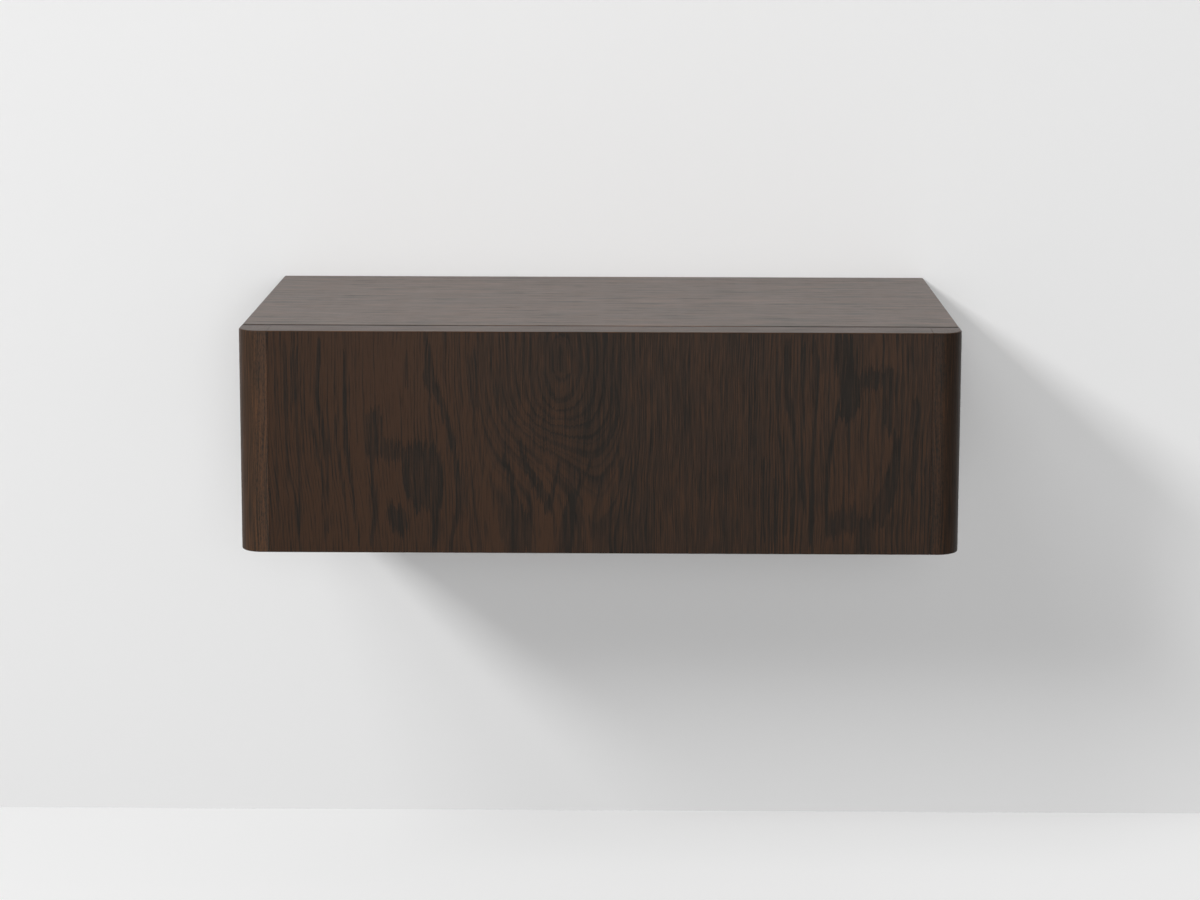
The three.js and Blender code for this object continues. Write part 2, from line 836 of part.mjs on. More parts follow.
const frontScrewGeometry = screwGeometry(frontScrew, panHeadProfile(frontScrew)).rotateZ(Math.PI);
frontScrewPlaces.forEach(([x, z], i) => {
  add(`front_screw_${i + 1}`, frontScrewGeometry, screwSteel).position.set(x, frontScrewSeatY, z);
});

const flushGeometry = screwGeometry(slideScrew, flushHeadProfile(slideScrew));
for (const side of sides) {
  add(`slide_${side.name}_cabinet_member`, cabinetMember(side), zincSteel);
  add(`slide_${side.name}_middle_member`, middleMember(side), zincSteel);
  add(`slide_${side.name}_drawer_member`, drawerMember(side), zincSteel);
  add(`slide_${side.name}_outer_ball_cage`, ballCage(side, outerCage), zincSteel);
  add(`slide_${side.name}_inner_ball_cage`, ballCage(side, innerCage), zincSteel);
  add(`slide_${side.name}_release_lever`, releaseLever(side), blackPlastic);
  slideScrewYs.forEach((y, i) => {
    const intoCase = add(`cabinet_screw_${side.name}_${i + 1}`, flushGeometry, screwSteel);
    intoCase.position.set(slideX(side, slideSheet), y, slideZ);
    intoCase.rotation.z = -side.sign * Math.PI / 2;
    const intoBox = add(`drawer_screw_${side.name}_${i + 1}`, flushGeometry, screwSteel);
    intoBox.position.set(slideX(side, drawerWebInnerU), y, slideZ);
    intoBox.rotation.z = side.sign * Math.PI / 2;
  });
  add(`box_side_${side.name}`, boxSide(side), paleBirch);
  add(`front_post_${side.name}`, frontPost(side), darkOak);
}

add('box_front', boxEnd(frontBackY, 1, frontScrewPlaces.map(frontScrewPilot)), paleBirch);
add('box_back', boxEnd(boxRearY, -1, []), paleBirch);
add('box_bottom', boxBottom(), paleBirch);
add('front_panel', frontPanel(), darkOak);

const bumperGeometry = bumper();
for (const side of sides) {
  for (const [end, z] of [['lower', bottomZ + bumperEndInset], ['upper', topZ - bumperEndInset]]) {
    add(`bumper_${side.name}_${end}`, bumperGeometry, clearRubber)
      .position.set(side.sign * (halfWidth - panelThickness / 2), caseFrontY, z);
  }
}

export default nightstand;
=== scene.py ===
"""Looks of a floating nightstand: dark stained oak case and drawer front, birch drawer box,
zinc-plated slides. The frame gives every solid; this script dresses it, lights it and looks at it.

Lengths are metres unless a name ends in _mm or _MM. x runs right, y towards the wall, z up, and the
wall is the plane y = 0.
"""
import json
import math
from collections import namedtuple

import bpy
from mathutils import Matrix, Vector


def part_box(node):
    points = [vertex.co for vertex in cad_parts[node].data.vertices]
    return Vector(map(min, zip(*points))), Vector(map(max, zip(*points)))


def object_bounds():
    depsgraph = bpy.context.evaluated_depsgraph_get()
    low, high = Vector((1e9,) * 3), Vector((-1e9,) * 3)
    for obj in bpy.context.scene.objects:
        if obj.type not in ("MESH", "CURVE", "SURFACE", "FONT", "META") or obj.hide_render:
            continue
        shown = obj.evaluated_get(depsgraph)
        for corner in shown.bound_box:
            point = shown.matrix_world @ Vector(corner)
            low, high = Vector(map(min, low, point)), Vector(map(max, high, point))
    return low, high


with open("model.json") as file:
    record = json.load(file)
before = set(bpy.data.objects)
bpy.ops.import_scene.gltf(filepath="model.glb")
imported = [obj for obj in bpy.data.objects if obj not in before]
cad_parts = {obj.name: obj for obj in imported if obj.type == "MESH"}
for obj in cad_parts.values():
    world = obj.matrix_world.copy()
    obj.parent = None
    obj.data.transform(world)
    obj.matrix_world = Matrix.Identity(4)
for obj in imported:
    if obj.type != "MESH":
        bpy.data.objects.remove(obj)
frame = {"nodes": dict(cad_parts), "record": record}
nodes = frame["nodes"]
cad_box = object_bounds()
scene = bpy.context.scene
PER_METRE_MM = 1000

# Camera, found from the photographed edges

CAMERA_PLACE = Vector((0.0247, -2.8000, 0.4819))
CAMERA_LENS = 88.782
CAMERA_SENSOR = 36.0
CAMERA_TURN_LEFT = math.radians(0.572)
CAMERA_TILT_DOWN = math.radians(8.631)
CAMERA_ROLL = math.radians(0.124)
CAMERA_SHIFT = -0.10
CAMERA_NEAR = 0.05
CAMERA_FAR = 50


def make_camera():
    data = bpy.data.cameras.new("camera")
    data.lens = CAMERA_LENS
    data.sensor_width = CAMERA_SENSOR
    data.shift_y = CAMERA_SHIFT
    data.clip_start = CAMERA_NEAR
    data.clip_end = CAMERA_FAR
    camera = bpy.data.objects.new("camera", data)
    scene.collection.objects.link(camera)
    turn = Matrix.Rotation(CAMERA_TURN_LEFT, 4, "Z")
    tilt = Matrix.Rotation(math.pi / 2 - CAMERA_TILT_DOWN, 4, "X")
    roll = Matrix.Rotation(CAMERA_ROLL, 4, "Z")
    camera.matrix_world = Matrix.Translation(CAMERA_PLACE) @ turn @ tilt @ roll
    scene.camera = camera


# Materials are written as sums: a Term is one output of a node tree, and each sum adds a node


class Term:
    def __init__(self, tree, socket):
        self.tree = tree
        self.socket = socket

    def __add__(self, other):
        return calculate(self.tree, "ADD", self, other)

    def __radd__(self, other):
        return calculate(self.tree, "ADD", other, self)

    def __sub__(self, other):
        return calculate(self.tree, "SUBTRACT", self, other)

    def __rsub__(self, other):
        return calculate(self.tree, "SUBTRACT", other, self)

    def __mul__(self, other):
        return calculate(self.tree, "MULTIPLY", self, other)

    def __rmul__(self, other):
        return calculate(self.tree, "MULTIPLY", other, self)

    def __truediv__(self, other):
        return calculate(self.tree, "DIVIDE", self, other)

    def __abs__(self):
        return calculate(self.tree, "ABSOLUTE", self)

    def least(self, other):
        return calculate(self.tree, "MINIMUM", self, other)

    def most(self, other):
        return calculate(self.tree, "MAXIMUM", self, other)

    def power(self, other):
        return calculate(self.tree, "POWER", self, other)

    def fraction(self):
        return calculate(self.tree, "FRACT", self)

    def floor(self):
        return calculate(self.tree, "FLOOR", self)


def feed(tree, socket, value):
    """Links a Term to a socket, or sets the socket to a number or a colour."""
    if isinstance(value, Term):
        tree.links.new(value.socket, socket)
    elif isinstance(value, tuple) and len(value) == 3 and len(socket.default_value) == 4:
        socket.default_value = (*value, 1)
    else:
        socket.default_value = value


def calculate(tree, operation, *values):
    node = tree.nodes.new("ShaderNodeMath")
    node.operation = operation
    for socket, value in zip(node.inputs, values):
        feed(tree, socket, value)
    return Term(tree, node.outputs[0])


def vector(tree, x, y, z=0.0):
    node = tree.nodes.new("ShaderNodeCombineXYZ")
    for socket, value in zip(node.inputs, (x, y, z)):
        feed(tree, socket, value)
    return Term(tree, node.outputs[0])


def thrice(tree, value):
    return vector(tree, value, value, value)


def vector_sum(tree, operation, *values):
    """A sum on vectors, part by part; plain numbers are given as tuples."""
    node = tree.nodes.new("ShaderNodeVectorMath")
    node.operation = operation
    for socket, value in zip(node.inputs, values):
        feed(tree, socket, value)
    return Term(tree, node.outputs["Value" if operation == "LENGTH" else "Vector"])


def parts_of(tree, term):
    node = tree.nodes.new("ShaderNodeSeparateXYZ")
    feed(tree, node.inputs[0], term)
    return [Term(tree, output) for output in node.outputs]


def noise(tree, place, detail=2.0, roughness=0.5):
    """Smooth noise from about 0 to 1."""
    node = tree.nodes.new("ShaderNodeTexNoise")
    feed(tree, node.inputs["Vector"], place)
    node.inputs["Scale"].default_value = 1
    node.inputs["Detail"].default_value = detail
    node.inputs["Roughness"].default_value = roughness
    return Term(tree, node.outputs[0])


def swing(tree, place, detail=2.0, roughness=0.5):
    """Smooth noise from about -0.5 to 0.5."""
    return noise(tree, place, detail, roughness) - 0.5


BLOTCHY_DETAIL = 3
BLOTCHY_ROUGHNESS = 0.6


def blotches(tree, place):
    """Rough, cloudy noise from about 0 to 1."""
    return noise(tree, place, BLOTCHY_DETAIL, BLOTCHY_ROUGHNESS)


def soft_step(term, low, high):
    """0 below low, 1 above high, and smooth between them; low may be the greater one."""
    node = term.tree.nodes.new("ShaderNodeMapRange")
    node.interpolation_type = "SMOOTHSTEP"
    feed(term.tree, node.inputs["Value"], term)
    feed(term.tree, node.inputs["From Min"], low)
    feed(term.tree, node.inputs["From Max"], high)
    return Term(term.tree, node.outputs[0])


def soft_step_each(tree, term, low, high):
    """soft_step on each part of a vector."""
    node = tree.nodes.new("ShaderNodeMapRange")
    node.data_type = "FLOAT_VECTOR"
    node.interpolation_type = "SMOOTHSTEP"
    by_name = {socket.name: socket for socket in node.inputs if socket.type == "VECTOR"}
    feed(tree, by_name["Vector"], term)
    feed(tree, by_name["From Min"], (low,) * 3)
    feed(tree, by_name["From Max"], (high,) * 3)
    return Term(tree, node.outputs["Vector"])


def rescale(term, from_low, from_high, to_low, to_high):
    node = term.tree.nodes.new("ShaderNodeMapRange")
    limits = {"From Min": from_low, "From Max": from_high, "To Min": to_low, "To Max": to_high}
    feed(term.tree, node.inputs["Value"], term)
    for name, value in limits.items():
        feed(term.tree, node.inputs[name], value)
    return Term(term.tree, node.outputs[0])


def curve(term, points):
    """A smooth curve through (input, output) points, level outside them."""
    inputs = [a for a, _ in points]
    outputs = [b for _, b in points]
    low, high = min(outputs), max(outputs)
    node = term.tree.nodes.new("ShaderNodeFloatCurve")
    line = node.mapping.curves[0]
    reach = inputs[-1] - inputs[0]
    places = [((a - inputs[0]) / reach, (b - low) / (high - low)) for a, b in points]
    line.points[0].location = places[0]
    line.points[1].location = places[-1]
    for place in places[1:-1]:
        line.points.new(*place)
    node.mapping.update()
    feed(term.tree, node.inputs["Value"], rescale(term, inputs[0], inputs[-1], 0, 1))
    return rescale(Term(term.tree, node.outputs[0]), 0, 1, low, high)


def hump(term):
    """1 where the term is 0, falling to nothing on both sides."""
    return calculate(term.tree, "EXPONENT", term.power(2) * -1)


def blend_colours(factor, first, second):
    tree = factor.tree
    node = tree.nodes.new("ShaderNodeMix")
    node.data_type = "RGBA"
    colours = [socket for socket in node.inputs if socket.type == "RGBA"]
    feed(tree, node.inputs["Factor"], factor)
    feed(tree, colours[0], first)
    feed(tree, colours[1], second)
    return Term(tree, next(socket for socket in node.outputs if socket.type == "RGBA"))


def blend_terms(factor, first, second):
    return first + factor * (second - first)


def new_material(name):
    """A material with its tree and its main shader."""
    material = bpy.data.materials.new(name)
    material.use_nodes = True
    return material, material.node_tree, material.node_tree.nodes["Principled BSDF"]


def place_mm(tree):
    """Where a point of the piece lies at rest, in millimetres of the frame."""
    node = tree.nodes.new("ShaderNodeTexCoord")
    return [part * PER_METRE_MM for part in parts_of(tree, Term(tree, node.outputs["Object"]))]


def place_in_steps(tree, step_mm):
    return vector(tree, *[part / step_mm for part in place_mm(tree)])


def face_way(tree):
    """How far a face looks along x, y and z, each without its sign."""
    node = tree.nodes.new("ShaderNodeTexCoord")
    return [abs(part) for part in parts_of(tree, Term(tree, node.outputs["Normal"]))]


def bump(tree, shader, height_mm):
    node = tree.nodes.new("ShaderNodeBump")
    node.inputs["Strength"].default_value = 1
    node.inputs["Distance"].default_value = 1 / PER_METRE_MM
    feed(tree, node.inputs["Height"], height_mm)
    tree.links.new(node.outputs["Normal"], shader.inputs["Normal"])


# Grain: each form of it is noise with a width across and a length along the grain, in millimetres

Form = namedtuple("Form", "width_mm length_mm seed detail roughness", defaults=(2.0, 0.5))

WANDER = Form(45, 240, 0)
RIPPLE = Form(9, 70, 3)
BROAD = Form(16, 260, 11)
STREAKS = Form(1.7, 80, 9, 2, 0.65)
THIN_STREAKS = Form(0.9, 30, 14, 1)
PORES = Form(0.9, 34, 0, 2, 0.6)
FINE_PORES = Form(0.4, 14, 7, 1)


def grain(tree, across_mm, along_mm, form, seed=0):
    """One form of the grain, from about -0.5 to 0.5."""
    place = vector(tree, across_mm / form.width_mm, along_mm / form.length_mm, form.seed + seed)
    return swing(tree, place, form.detail, form.roughness)


PORES_SHARE = 0.6
PORE_LIMITS = (0.02, 0.16)


def pores_at(tree, across_mm, along_mm, seed):
    """Fine open pores: dashes about half a millimetre wide and some 30 mm long."""
    wide = grain(tree, across_mm, along_mm, PORES, seed)
    fine = grain(tree, across_mm, along_mm, FINE_PORES, seed)
    return soft_step(wide * PORES_SHARE + fine * (1 - PORES_SHARE), *PORE_LIMITS)


LINE_RISE = (0.0, 0.12)
LINE_FALL = (0.56, 0.14)
LINE_SEED_STEP = 0.71
LINE_CHANGES_MM = 110
LINE_STRENGTH_LIMITS = (0.36, 0.62)


def ring_lines(tree, phase, along_mm, seed, alike=0.0):
    """Dark lines of the yearly growth, one for each whole number of phase. Each has its own strength,
    which is at least alike."""
    part = phase.fraction()
    line = soft_step(part, *LINE_RISE) * soft_step(part, *LINE_FALL)
    own = noise(tree, vector(tree, phase.floor() * LINE_SEED_STEP, along_mm / LINE_CHANGES_MM, seed), 1)
    return line * soft_step(own, *LINE_STRENGTH_LIMITS).most(alike)


PLAIN_WANDER_MM = 26
PLAIN_RIPPLE_MM = 2.5
THIN_SPACING_SHARE = 0.37
THIN_LINES_SEED = 5
PLAIN_THIN_ALIKE = 0.3
PLAIN_TONE = 0.58
BROAD_SHADE = 0.7
PLAIN_STREAK_SHADE = 1.3
PLAIN_LINE_SHADE = 0.3
PLAIN_THIN_LINE_SHADE = 0.24
PLAIN_PORES = 0.3
PLAIN_LINE_PORES = 0.4


def plain_figure(tree, across_mm, along_mm, seed, spacing_mm, contrast=1.0, ripple_mm=PLAIN_RIPPLE_MM):
    """Straight, slightly wandering grain: its tone and its pores."""
    wander = grain(tree, across_mm, along_mm, WANDER, seed)
    ripple = grain(tree, across_mm, along_mm, RIPPLE, seed)
    moved = across_mm + wander * PLAIN_WANDER_MM + ripple * ripple_mm
    lines = ring_lines(tree, moved / spacing_mm, along_mm, seed)
    thin_phase = moved / (spacing_mm * THIN_SPACING_SHARE)
    thin_lines = ring_lines(tree, thin_phase, along_mm, seed + THIN_LINES_SEED, PLAIN_THIN_ALIKE)
    streaks = grain(tree, moved, along_mm, STREAKS, seed) + grain(tree, moved, along_mm, THIN_STREAKS, seed)
    lined = lines * PLAIN_LINE_SHADE + thin_lines * PLAIN_THIN_LINE_SHADE
    broad = grain(tree, moved, along_mm, BROAD, seed)
    tone = PLAIN_TONE + broad * BROAD_SHADE + (streaks * PLAIN_STREAK_SHADE - lined) * contrast
    return tone, pores_at(tree, moved, along_mm, seed) * (PLAIN_PORES + lines * PLAIN_LINE_PORES)


# Dark stained oak: colours are linear, from the pores to the warmest wood

OAK_PORE = (0.0048, 0.0040, 0.0032)
OAK_DARK = (0.0117, 0.0086, 0.0063)
OAK_MIDDLE = (0.0248, 0.0138, 0.0085)
OAK_WARM = (0.0412, 0.0196, 0.0100)
OAK_MIDDLE_TONE = 0.5
OAK_ROUGHNESS = 0.42
OAK_SPECULAR = 0.095
OAK_PORE_DEPTH_MM = 0.05
OAK_LINE_DEPTH_MM = 0.03
OAK_PORE_ROUGHER = 0.15
OAK_WARM_SMOOTHER = 0.06
UNEVEN_POLISH = 0.06
UNEVEN_POLISH_MM = 30


def oak_colour(tone, pores):
    """Wood colour from a tone of 0 (dark latewood) to 1 (warm earlywood), under its pores."""
    lower = blend_colours(soft_step(tone, 0.0, OAK_MIDDLE_TONE), OAK_DARK, OAK_MIDDLE)
    wood = blend_colours(soft_step(tone, OAK_MIDDLE_TONE, 1.0), lower, OAK_WARM)
    return blend_colours(pores, wood, OAK_PORE)


def finish_oak(tree, shader, tone, pores, lighter=1.0, specular=OAK_SPECULAR, roughness=OAK_ROUGHNESS,
               pore_rougher=OAK_PORE_ROUGHER):
    """Colour, gloss and fine relief from a tone and its pores."""
    colour = vector_sum(tree, "MULTIPLY", oak_colour(tone, pores), thrice(tree, lighter))
    feed(tree, shader.inputs["Base Color"], colour)
    polish = swing(tree, place_in_steps(tree, UNEVEN_POLISH_MM)) * UNEVEN_POLISH
    roughness = roughness + pores * pore_rougher + polish - (tone - OAK_MIDDLE_TONE) * OAK_WARM_SMOOTHER
    feed(tree, shader.inputs["Roughness"], roughness)
    shader.inputs["Specular IOR Level"].default_value = specular
    bump(tree, shader, (1 - tone) * -OAK_LINE_DEPTH_MM - pores * OAK_PORE_DEPTH_MM)


CASE_BOARDS = ("case_top", "case_bottom", "case_side_left", "case_side_right")


def box_round(names):
    """The lowest and the highest corner of several nodes together, in millimetres."""
    corners = [corner * PER_METRE_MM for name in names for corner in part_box(name)]
    return [[pick(parts) for parts in zip(*corners)] for pick in (min, max)]


CASE_LOW_MM, CASE_HIGH_MM = box_round(CASE_BOARDS)
EDGE_WEAR = 0.35
EDGE_WEAR_REACH_MM = 0.9
EDGE_WEAR_SPOT_MM = 7
EDGE_WEAR_SPOTS = 0.42
EDGE_WEAR_SPREAD_MM = 3.6


def edge_wear(tree):
    """Lighter worn spots along the twelve edges of the case: a point near an edge has two of its three
    distances to the case's outer faces small."""
    sides = zip(place_mm(tree), CASE_LOW_MM, CASE_HIGH_MM)
    first, second, third = [(part - low).least(high - part) for part, low, high in sides]
    middle = first.most(second).least(first.least(second).most(third))
    spots = blotches(tree, place_in_steps(tree, EDGE_WEAR_SPOT_MM))
    worn = soft_step(middle - (spots - EDGE_WEAR_SPOTS) * EDGE_WEAR_SPREAD_MM, EDGE_WEAR_REACH_MM, 0)
    return worn * EDGE_WEAR


# The case. Its top is painted paler than its sides as painted light, and its front edge, which lies in shadow
# at both ends, is painted dark there as painted shade

TOP_SEED = 21
TOP_LINES_MM = 15.0
TOP_CONTRAST = 1.05
TOP_RIPPLE_MM = 0.6
TOP_RAGGED = Form(1.6, 30, 24, 2, 0.6)
TOP_RAGGED_MM = 34
TOP_RAGGED_SHARE = 0.08
TOP_SMEARS = Form(15, 62, 27, 2, 0.6)
TOP_SMEAR_LIMITS = (0.05, 0.2)
TOP_SMEAR_SHADE = 0.3
TOP_PORES = 1.3
TOP_PORE_ROUGHER = 0.3
# Painted light: the top's colour is raised fourfold to stand in for the pale sheen that light lays on it
TOP_PAINTED_LIGHTER = 4.0
TOP_ROUGHNESS = 0.41
TOP_SPECULAR = 0.5
# Painted shade: the top's front edge, behind which the gap lies, is painted dark, darkest towards both ends
ARRIS_LIMITS = (0.985, 0.8)
ARRIS_PAINTED_SHADE = [(-305, 1), (-180, 0.7), (-60, 0.15), (90, 0.1), (200, 0.5), (305, 0.9)]
ARRIS_LIGHTER = 0.1
ARRIS_ROUGHER = 0.4
CASE_LIGHTER = 1.5
SIDE_SEED = 33
SIDE_LINES_MM = 8.0
FLAT_SEED = 37
FLAT_LINES_MM = 9.0


def oak_top_material():
    material, tree, shader = new_material("oak_top")
    x, y, z = place_mm(tree)
    tone, pores = plain_figure(tree, y + z, x, TOP_SEED, TOP_LINES_MM, TOP_CONTRAST, TOP_RIPPLE_MM)
    ragged = grain(tree, y + z, x, TOP_RAGGED)
    smears = grain(tree, y + z, x + ragged * TOP_RAGGED_MM, TOP_SMEARS) + ragged * TOP_RAGGED_SHARE
    tone = tone - soft_step(smears, *TOP_SMEAR_LIMITS) * TOP_SMEAR_SHADE + edge_wear(tree)
    # Painted shade on the top's front edge, darkest at both ends, and painted light on the rest of the top
    arris_painted_shade = soft_step(face_way(tree)[2], *ARRIS_LIMITS) * curve(x, ARRIS_PAINTED_SHADE)
    finish_oak(tree, shader, tone - arris_painted_shade, pores * TOP_PORES, blend_terms(arris_painted_shade, TOP_PAINTED_LIGHTER, ARRIS_LIGHTER),
               TOP_SPECULAR, TOP_ROUGHNESS + arris_painted_shade * ARRIS_ROUGHER, TOP_PORE_ROUGHER)
    return material


def oak_side_material():
    """Case sides: the grain runs up."""
    material, tree, shader = new_material("oak_side")
    x, y, z = place_mm(tree)
    tone, pores = plain_figure(tree, y + abs(x), z, SIDE_SEED, SIDE_LINES_MM)
    finish_oak(tree, shader, tone + edge_wear(tree), pores, CASE_LIGHTER)
    return material


def oak_flat_material():
    """Case bottom and back panel: the grain runs sideways."""
    material, tree, shader = new_material("oak_flat")
    x, y, z = place_mm(tree)
    tone, pores = plain_figure(tree, y + z, x, FLAT_SEED, FLAT_LINES_MM)
    finish_oak(tree, shader, tone + edge_wear(tree), pores, CASE_LIGHTER)
    return material


# The drawer front's upper edge, smoother than its face and painted paler as painted light, and its corner
# posts, the left one painted paler than the right as painted light

UPPER_EDGE_LIMITS = (0.45, 0.75)
# Painted light: the upper edge is painted paler, like the case's top, for the sheen it catches
UPPER_EDGE_PAINTED_LIGHTER = 3.1
UPPER_EDGE_SMOOTHER = 0.10
POST_SEED = 43
POST_LINES_MM = 5.0
POST_CONTRAST = 1.1
# Painted light: the left post is painted paler than the right one, for the key light that falls from the left
POST_LEFT_PAINTED_LIGHTER = 2.25
POST_RIGHT_PAINTED_LIGHTER = 1.12
POST_SIDES_MM = (-50, 50)
FLECKS = Form(1.3, 3.6, 47, 2)
FLECK_LIMITS = (-0.04, 0.1)
FLECKS_FADE_MM = (298, 286)
FLECK_MIDDLE = 0.45
FLECK_SHADE = 0.32


def upper_edge(tree):
    return soft_step(face_way(tree)[2], *UPPER_EDGE_LIMITS)


def oak_post_material():
    """Solid wood with small ray flecks on its flat front, next to the seam."""
    material, tree, shader = new_material("oak_post")
    x, y, z = place_mm(tree)
    across = y + abs(x)
    tone, pores = plain_figure(tree, across, z, POST_SEED, POST_LINES_MM, POST_CONTRAST)
    flecks = soft_step(grain(tree, across, z, FLECKS), *FLECK_LIMITS) - FLECK_MIDDLE
    tone = tone - flecks * soft_step(abs(x), *FLECKS_FADE_MM) * FLECK_SHADE
    # Painted light: the left post paler than the right, and the upper edge paler still
    painted_side_light = blend_terms(soft_step(x, *POST_SIDES_MM), POST_LEFT_PAINTED_LIGHTER, POST_RIGHT_PAINTED_LIGHTER)
    edge = upper_edge(tree)
    finish_oak(tree, shader, tone, pores, blend_terms(edge, painted_side_light, UPPER_EDGE_PAINTED_LIGHTER),
               roughness=OAK_ROUGHNESS - edge * UPPER_EDGE_SMOOTHER)
    return material


# The front's figure, read off the photographed drawer front, in millimetres of the frame. Growth lines
# are counted outwards from an eye: RING_COUNTS gives the count at each place across, ARC_COUNTS the
# count at each height below and above the eye.

RING_COUNTS = [(-305, -39), (-212, -26), (-150, -18.2), (-100, -10.5), (-32, 0), (35, 10.3),
               (128, 33.5), (190, 42.4), (270, 49), (305, 54)]
ARC_COUNTS = [(-81, 10.4), (-44, 10.2), (-25, 9.8), (0, 8.6), (9, 7.8), (24, 6), (37, 4), (54, 2),
              (70, 1), (77, 0), (107, 1.4)]
ARC_ROUNDNESS = 2.0
ARC_REACH_MM = 54
NEAR_ARCS = (0.12, 0.5)
ARCS_DARKER = (-60, 30, -0.14, 0.18)
PINCH_MIDDLE_MM = -45
PINCH_REACH_MM = 48
PINCH_BY_HEIGHT = [(-81, 0.9), (-40, 0.85), (10, 0.5), (50, 0.15), (77, 0), (107, 0)]
LEAN_BY_HEIGHT = [(-81, 11), (-45, 8), (0, 2), (40, 0), (107, 0)]
LEAN_FADES_MM = (-120, -200)
# Tone by place across the front: partly the wood's own tone, partly painted light that makes the left part
# paler, towards the key
TONE_AND_PAINTED_LIGHT_ACROSS = [(-305, 0.98), (-160, 0.95), (-60, 0.86), (30, 0.60), (120, 0.60), (170, 0.74), (305, 0.60)]
LINE_STRENGTHS = [(-305, 0.6), (-215, 0.6), (-190, 0.15), (-155, 0.2), (-140, 0.7), (35, 0.7),
                  (60, 0.4), (118, 0.4), (135, 0.6), (185, 0.6), (200, 0.15), (262, 0.25), (305, 0.5)]

# Dark marks of the figure: a strength, then points down the middle of each mark as height, place
# across and half width

DARK_MARKS = [
    # the long streak and the group of patches left of it
    (0.95, [(107, -146, 1.6), (85, -144, 3), (65, -142, 6), (48, -134, 3.4), (28, -128, 2.2), (3, -122, 2.2),
            (-35, -119, 2.2), (-81, -126, 1.3)]),
    (0.95, [(41, -190, 6.5), (30, -190, 7.2), (2, -190, 7)]),
    (0.75, [(15, -175, 9), (-1, -175, 8)]),
    (0.9, [(11, -152, 13), (-5, -150, 17.5), (-25, -148.5, 16.5), (-44, -146, 11)]),
    (0.8, [(2, -191.6, 2.4), (-44, -189.5, 2.0), (-77, -193, 1.6)]),
    (0.85, [(-41, -175, 4), (-50, -172, 8), (-63, -168, 6)]),
    (0.85, [(-34, -139, 3.6), (-54, -139, 3), (-79, -140, 1.8)]),
    (0.7, [(87, -162, 2), (62, -162, 2)]),
    (0.45, [(90, -106, 5), (45, -106, 5)]),
    # the two V shapes below the arcs
    (1.0, [(12, -66, 1.5), (-13, -57.5, 3), (-35, -48, 4), (-45, -44, 3)]),
    (0.95, [(-3, -35, 0.9), (-25, -39, 1.6), (-45, -43, 3)]),
    (0.85, [(3, -80, 1.5), (-22, -74, 2.6), (-40, -70, 4), (-53, -66, 9), (-81, -66, 9)]),
    (0.9, [(-3, -8, 1.5), (-17, -14, 2.6), (-27, -20, 3), (-40, -24, 4.5), (-53, -26, 7), (-81, -27.5, 6)]),
    (0.7, [(-13, 2, 1.3), (-40, -3, 1.5), (-71, -5, 1.2)]),
    (0.5, [(-1, 18.5, 1.5), (-34, 11, 1.5), (-71, 8.5, 1.2)]),
    # the loop at the right
    (1.0, [(107, 205, 7.5), (80, 206.5, 7.5), (62, 211, 9), (45, 211, 8), (34, 207, 6)]),
    (0.95, [(74, 229, 13), (63, 229, 12)]),
    (0.85, [(76, 242.6, 4.5), (34, 243, 4), (15, 250, 3.2), (-17, 246, 6), (-44, 238, 8), (-56, 234.5, 6)]),
    (0.9, [(49, 200.5, 1.4), (18, 196, 1.7), (-7, 193, 2.1), (-39, 192, 2.5), (-55, 195, 2)]),
    (0.95, [(-48, 197, 5.5), (-67, 197, 5.5)]),
    (0.9, [(-43, 210, 6.5), (-61, 210, 7)]),
    (0.7, [(-50, 224, 7), (-80, 224, 7)]),
    (0.8, [(51, 266, 3.4), (16, 266, 3), (-27, 264, 1.3)]),
    # long thin lines at the right
    (0.85, [(94, 149, 1.3), (37, 149.5, 1.1), (-14, 156, 1.4), (-65, 157, 1.4)]),
    (0.8, [(100, 158, 2.8), (62, 158, 2.8), (24, 163, 1.6), (-27, 170, 1.2), (-45, 173, 1.2)]),
    (0.95, [(100, 171, 1.2), (24, 170.5, 1.3), (-39, 172, 1.2)]),
    (0.9, [(103, 179.5, 1.4), (75, 182, 2.6), (37, 181.3, 1.7), (-1, 179.4, 1.9), (-71, 179, 1.4)]),
    (0.8, [(-1, 138, 1.2), (-71, 139.3, 1.3)]),
    (0.8, [(-14, 147.6, 1.3), (-71, 148.3, 1.3)]),
    (0.7, [(-33, 162.3, 1.2), (-77, 163, 1.3)]),
    (0.5, [(75, 130.4, 1.2), (-1, 131.7, 1.3)]),
    # long thin lines at the left
    (0.85, [(94, -214, 1.3), (37, -214.4, 1.6), (-8, -211, 2.1), (-46, -206, 1.3), (-71, -203.5, 1.2)]),
    (0.8, [(100, -235, 1.7), (60, -238, 2.3), (11, -231, 1.8), (-39, -230, 1.2)]),
    (0.8, [(37, -243, 1.4), (11, -239, 1.4), (-27, -233, 1.4), (-65, -230, 1.4)]),
    (0.7, [(94, -254.5, 1.1), (37, -255.7, 1.2), (-14, -253, 1.2), (-65, -254.5, 1.1)]),
    (0.6, [(100, -264, 1.2), (-15, -263, 1.2)]),
    (0.5, [(94, -272.3, 0.9), (-64, -272, 1.0)]),
    (0.7, [(37, -222.6, 1.2), (-1, -220, 1.4), (-46, -214, 1.4), (-71, -212.4, 1.2)]),
]

# How heights, places across and half widths are scaled down for the curves, which run from -1 to 1.
# Past its ends a mark's half width falls to MARK_NOTHING_MM.

MARK_HEIGHT_MM = 112
MARK_ACROSS_MM = 305
MARK_WIDTH_MM = 20
MARK_END_MM = 4
MARK_NOTHING_MM = -2.5
MARK_EDGE_MM = (-0.5, 0.6)

# Warm places: place across and height of the middle, half width and half height, strength

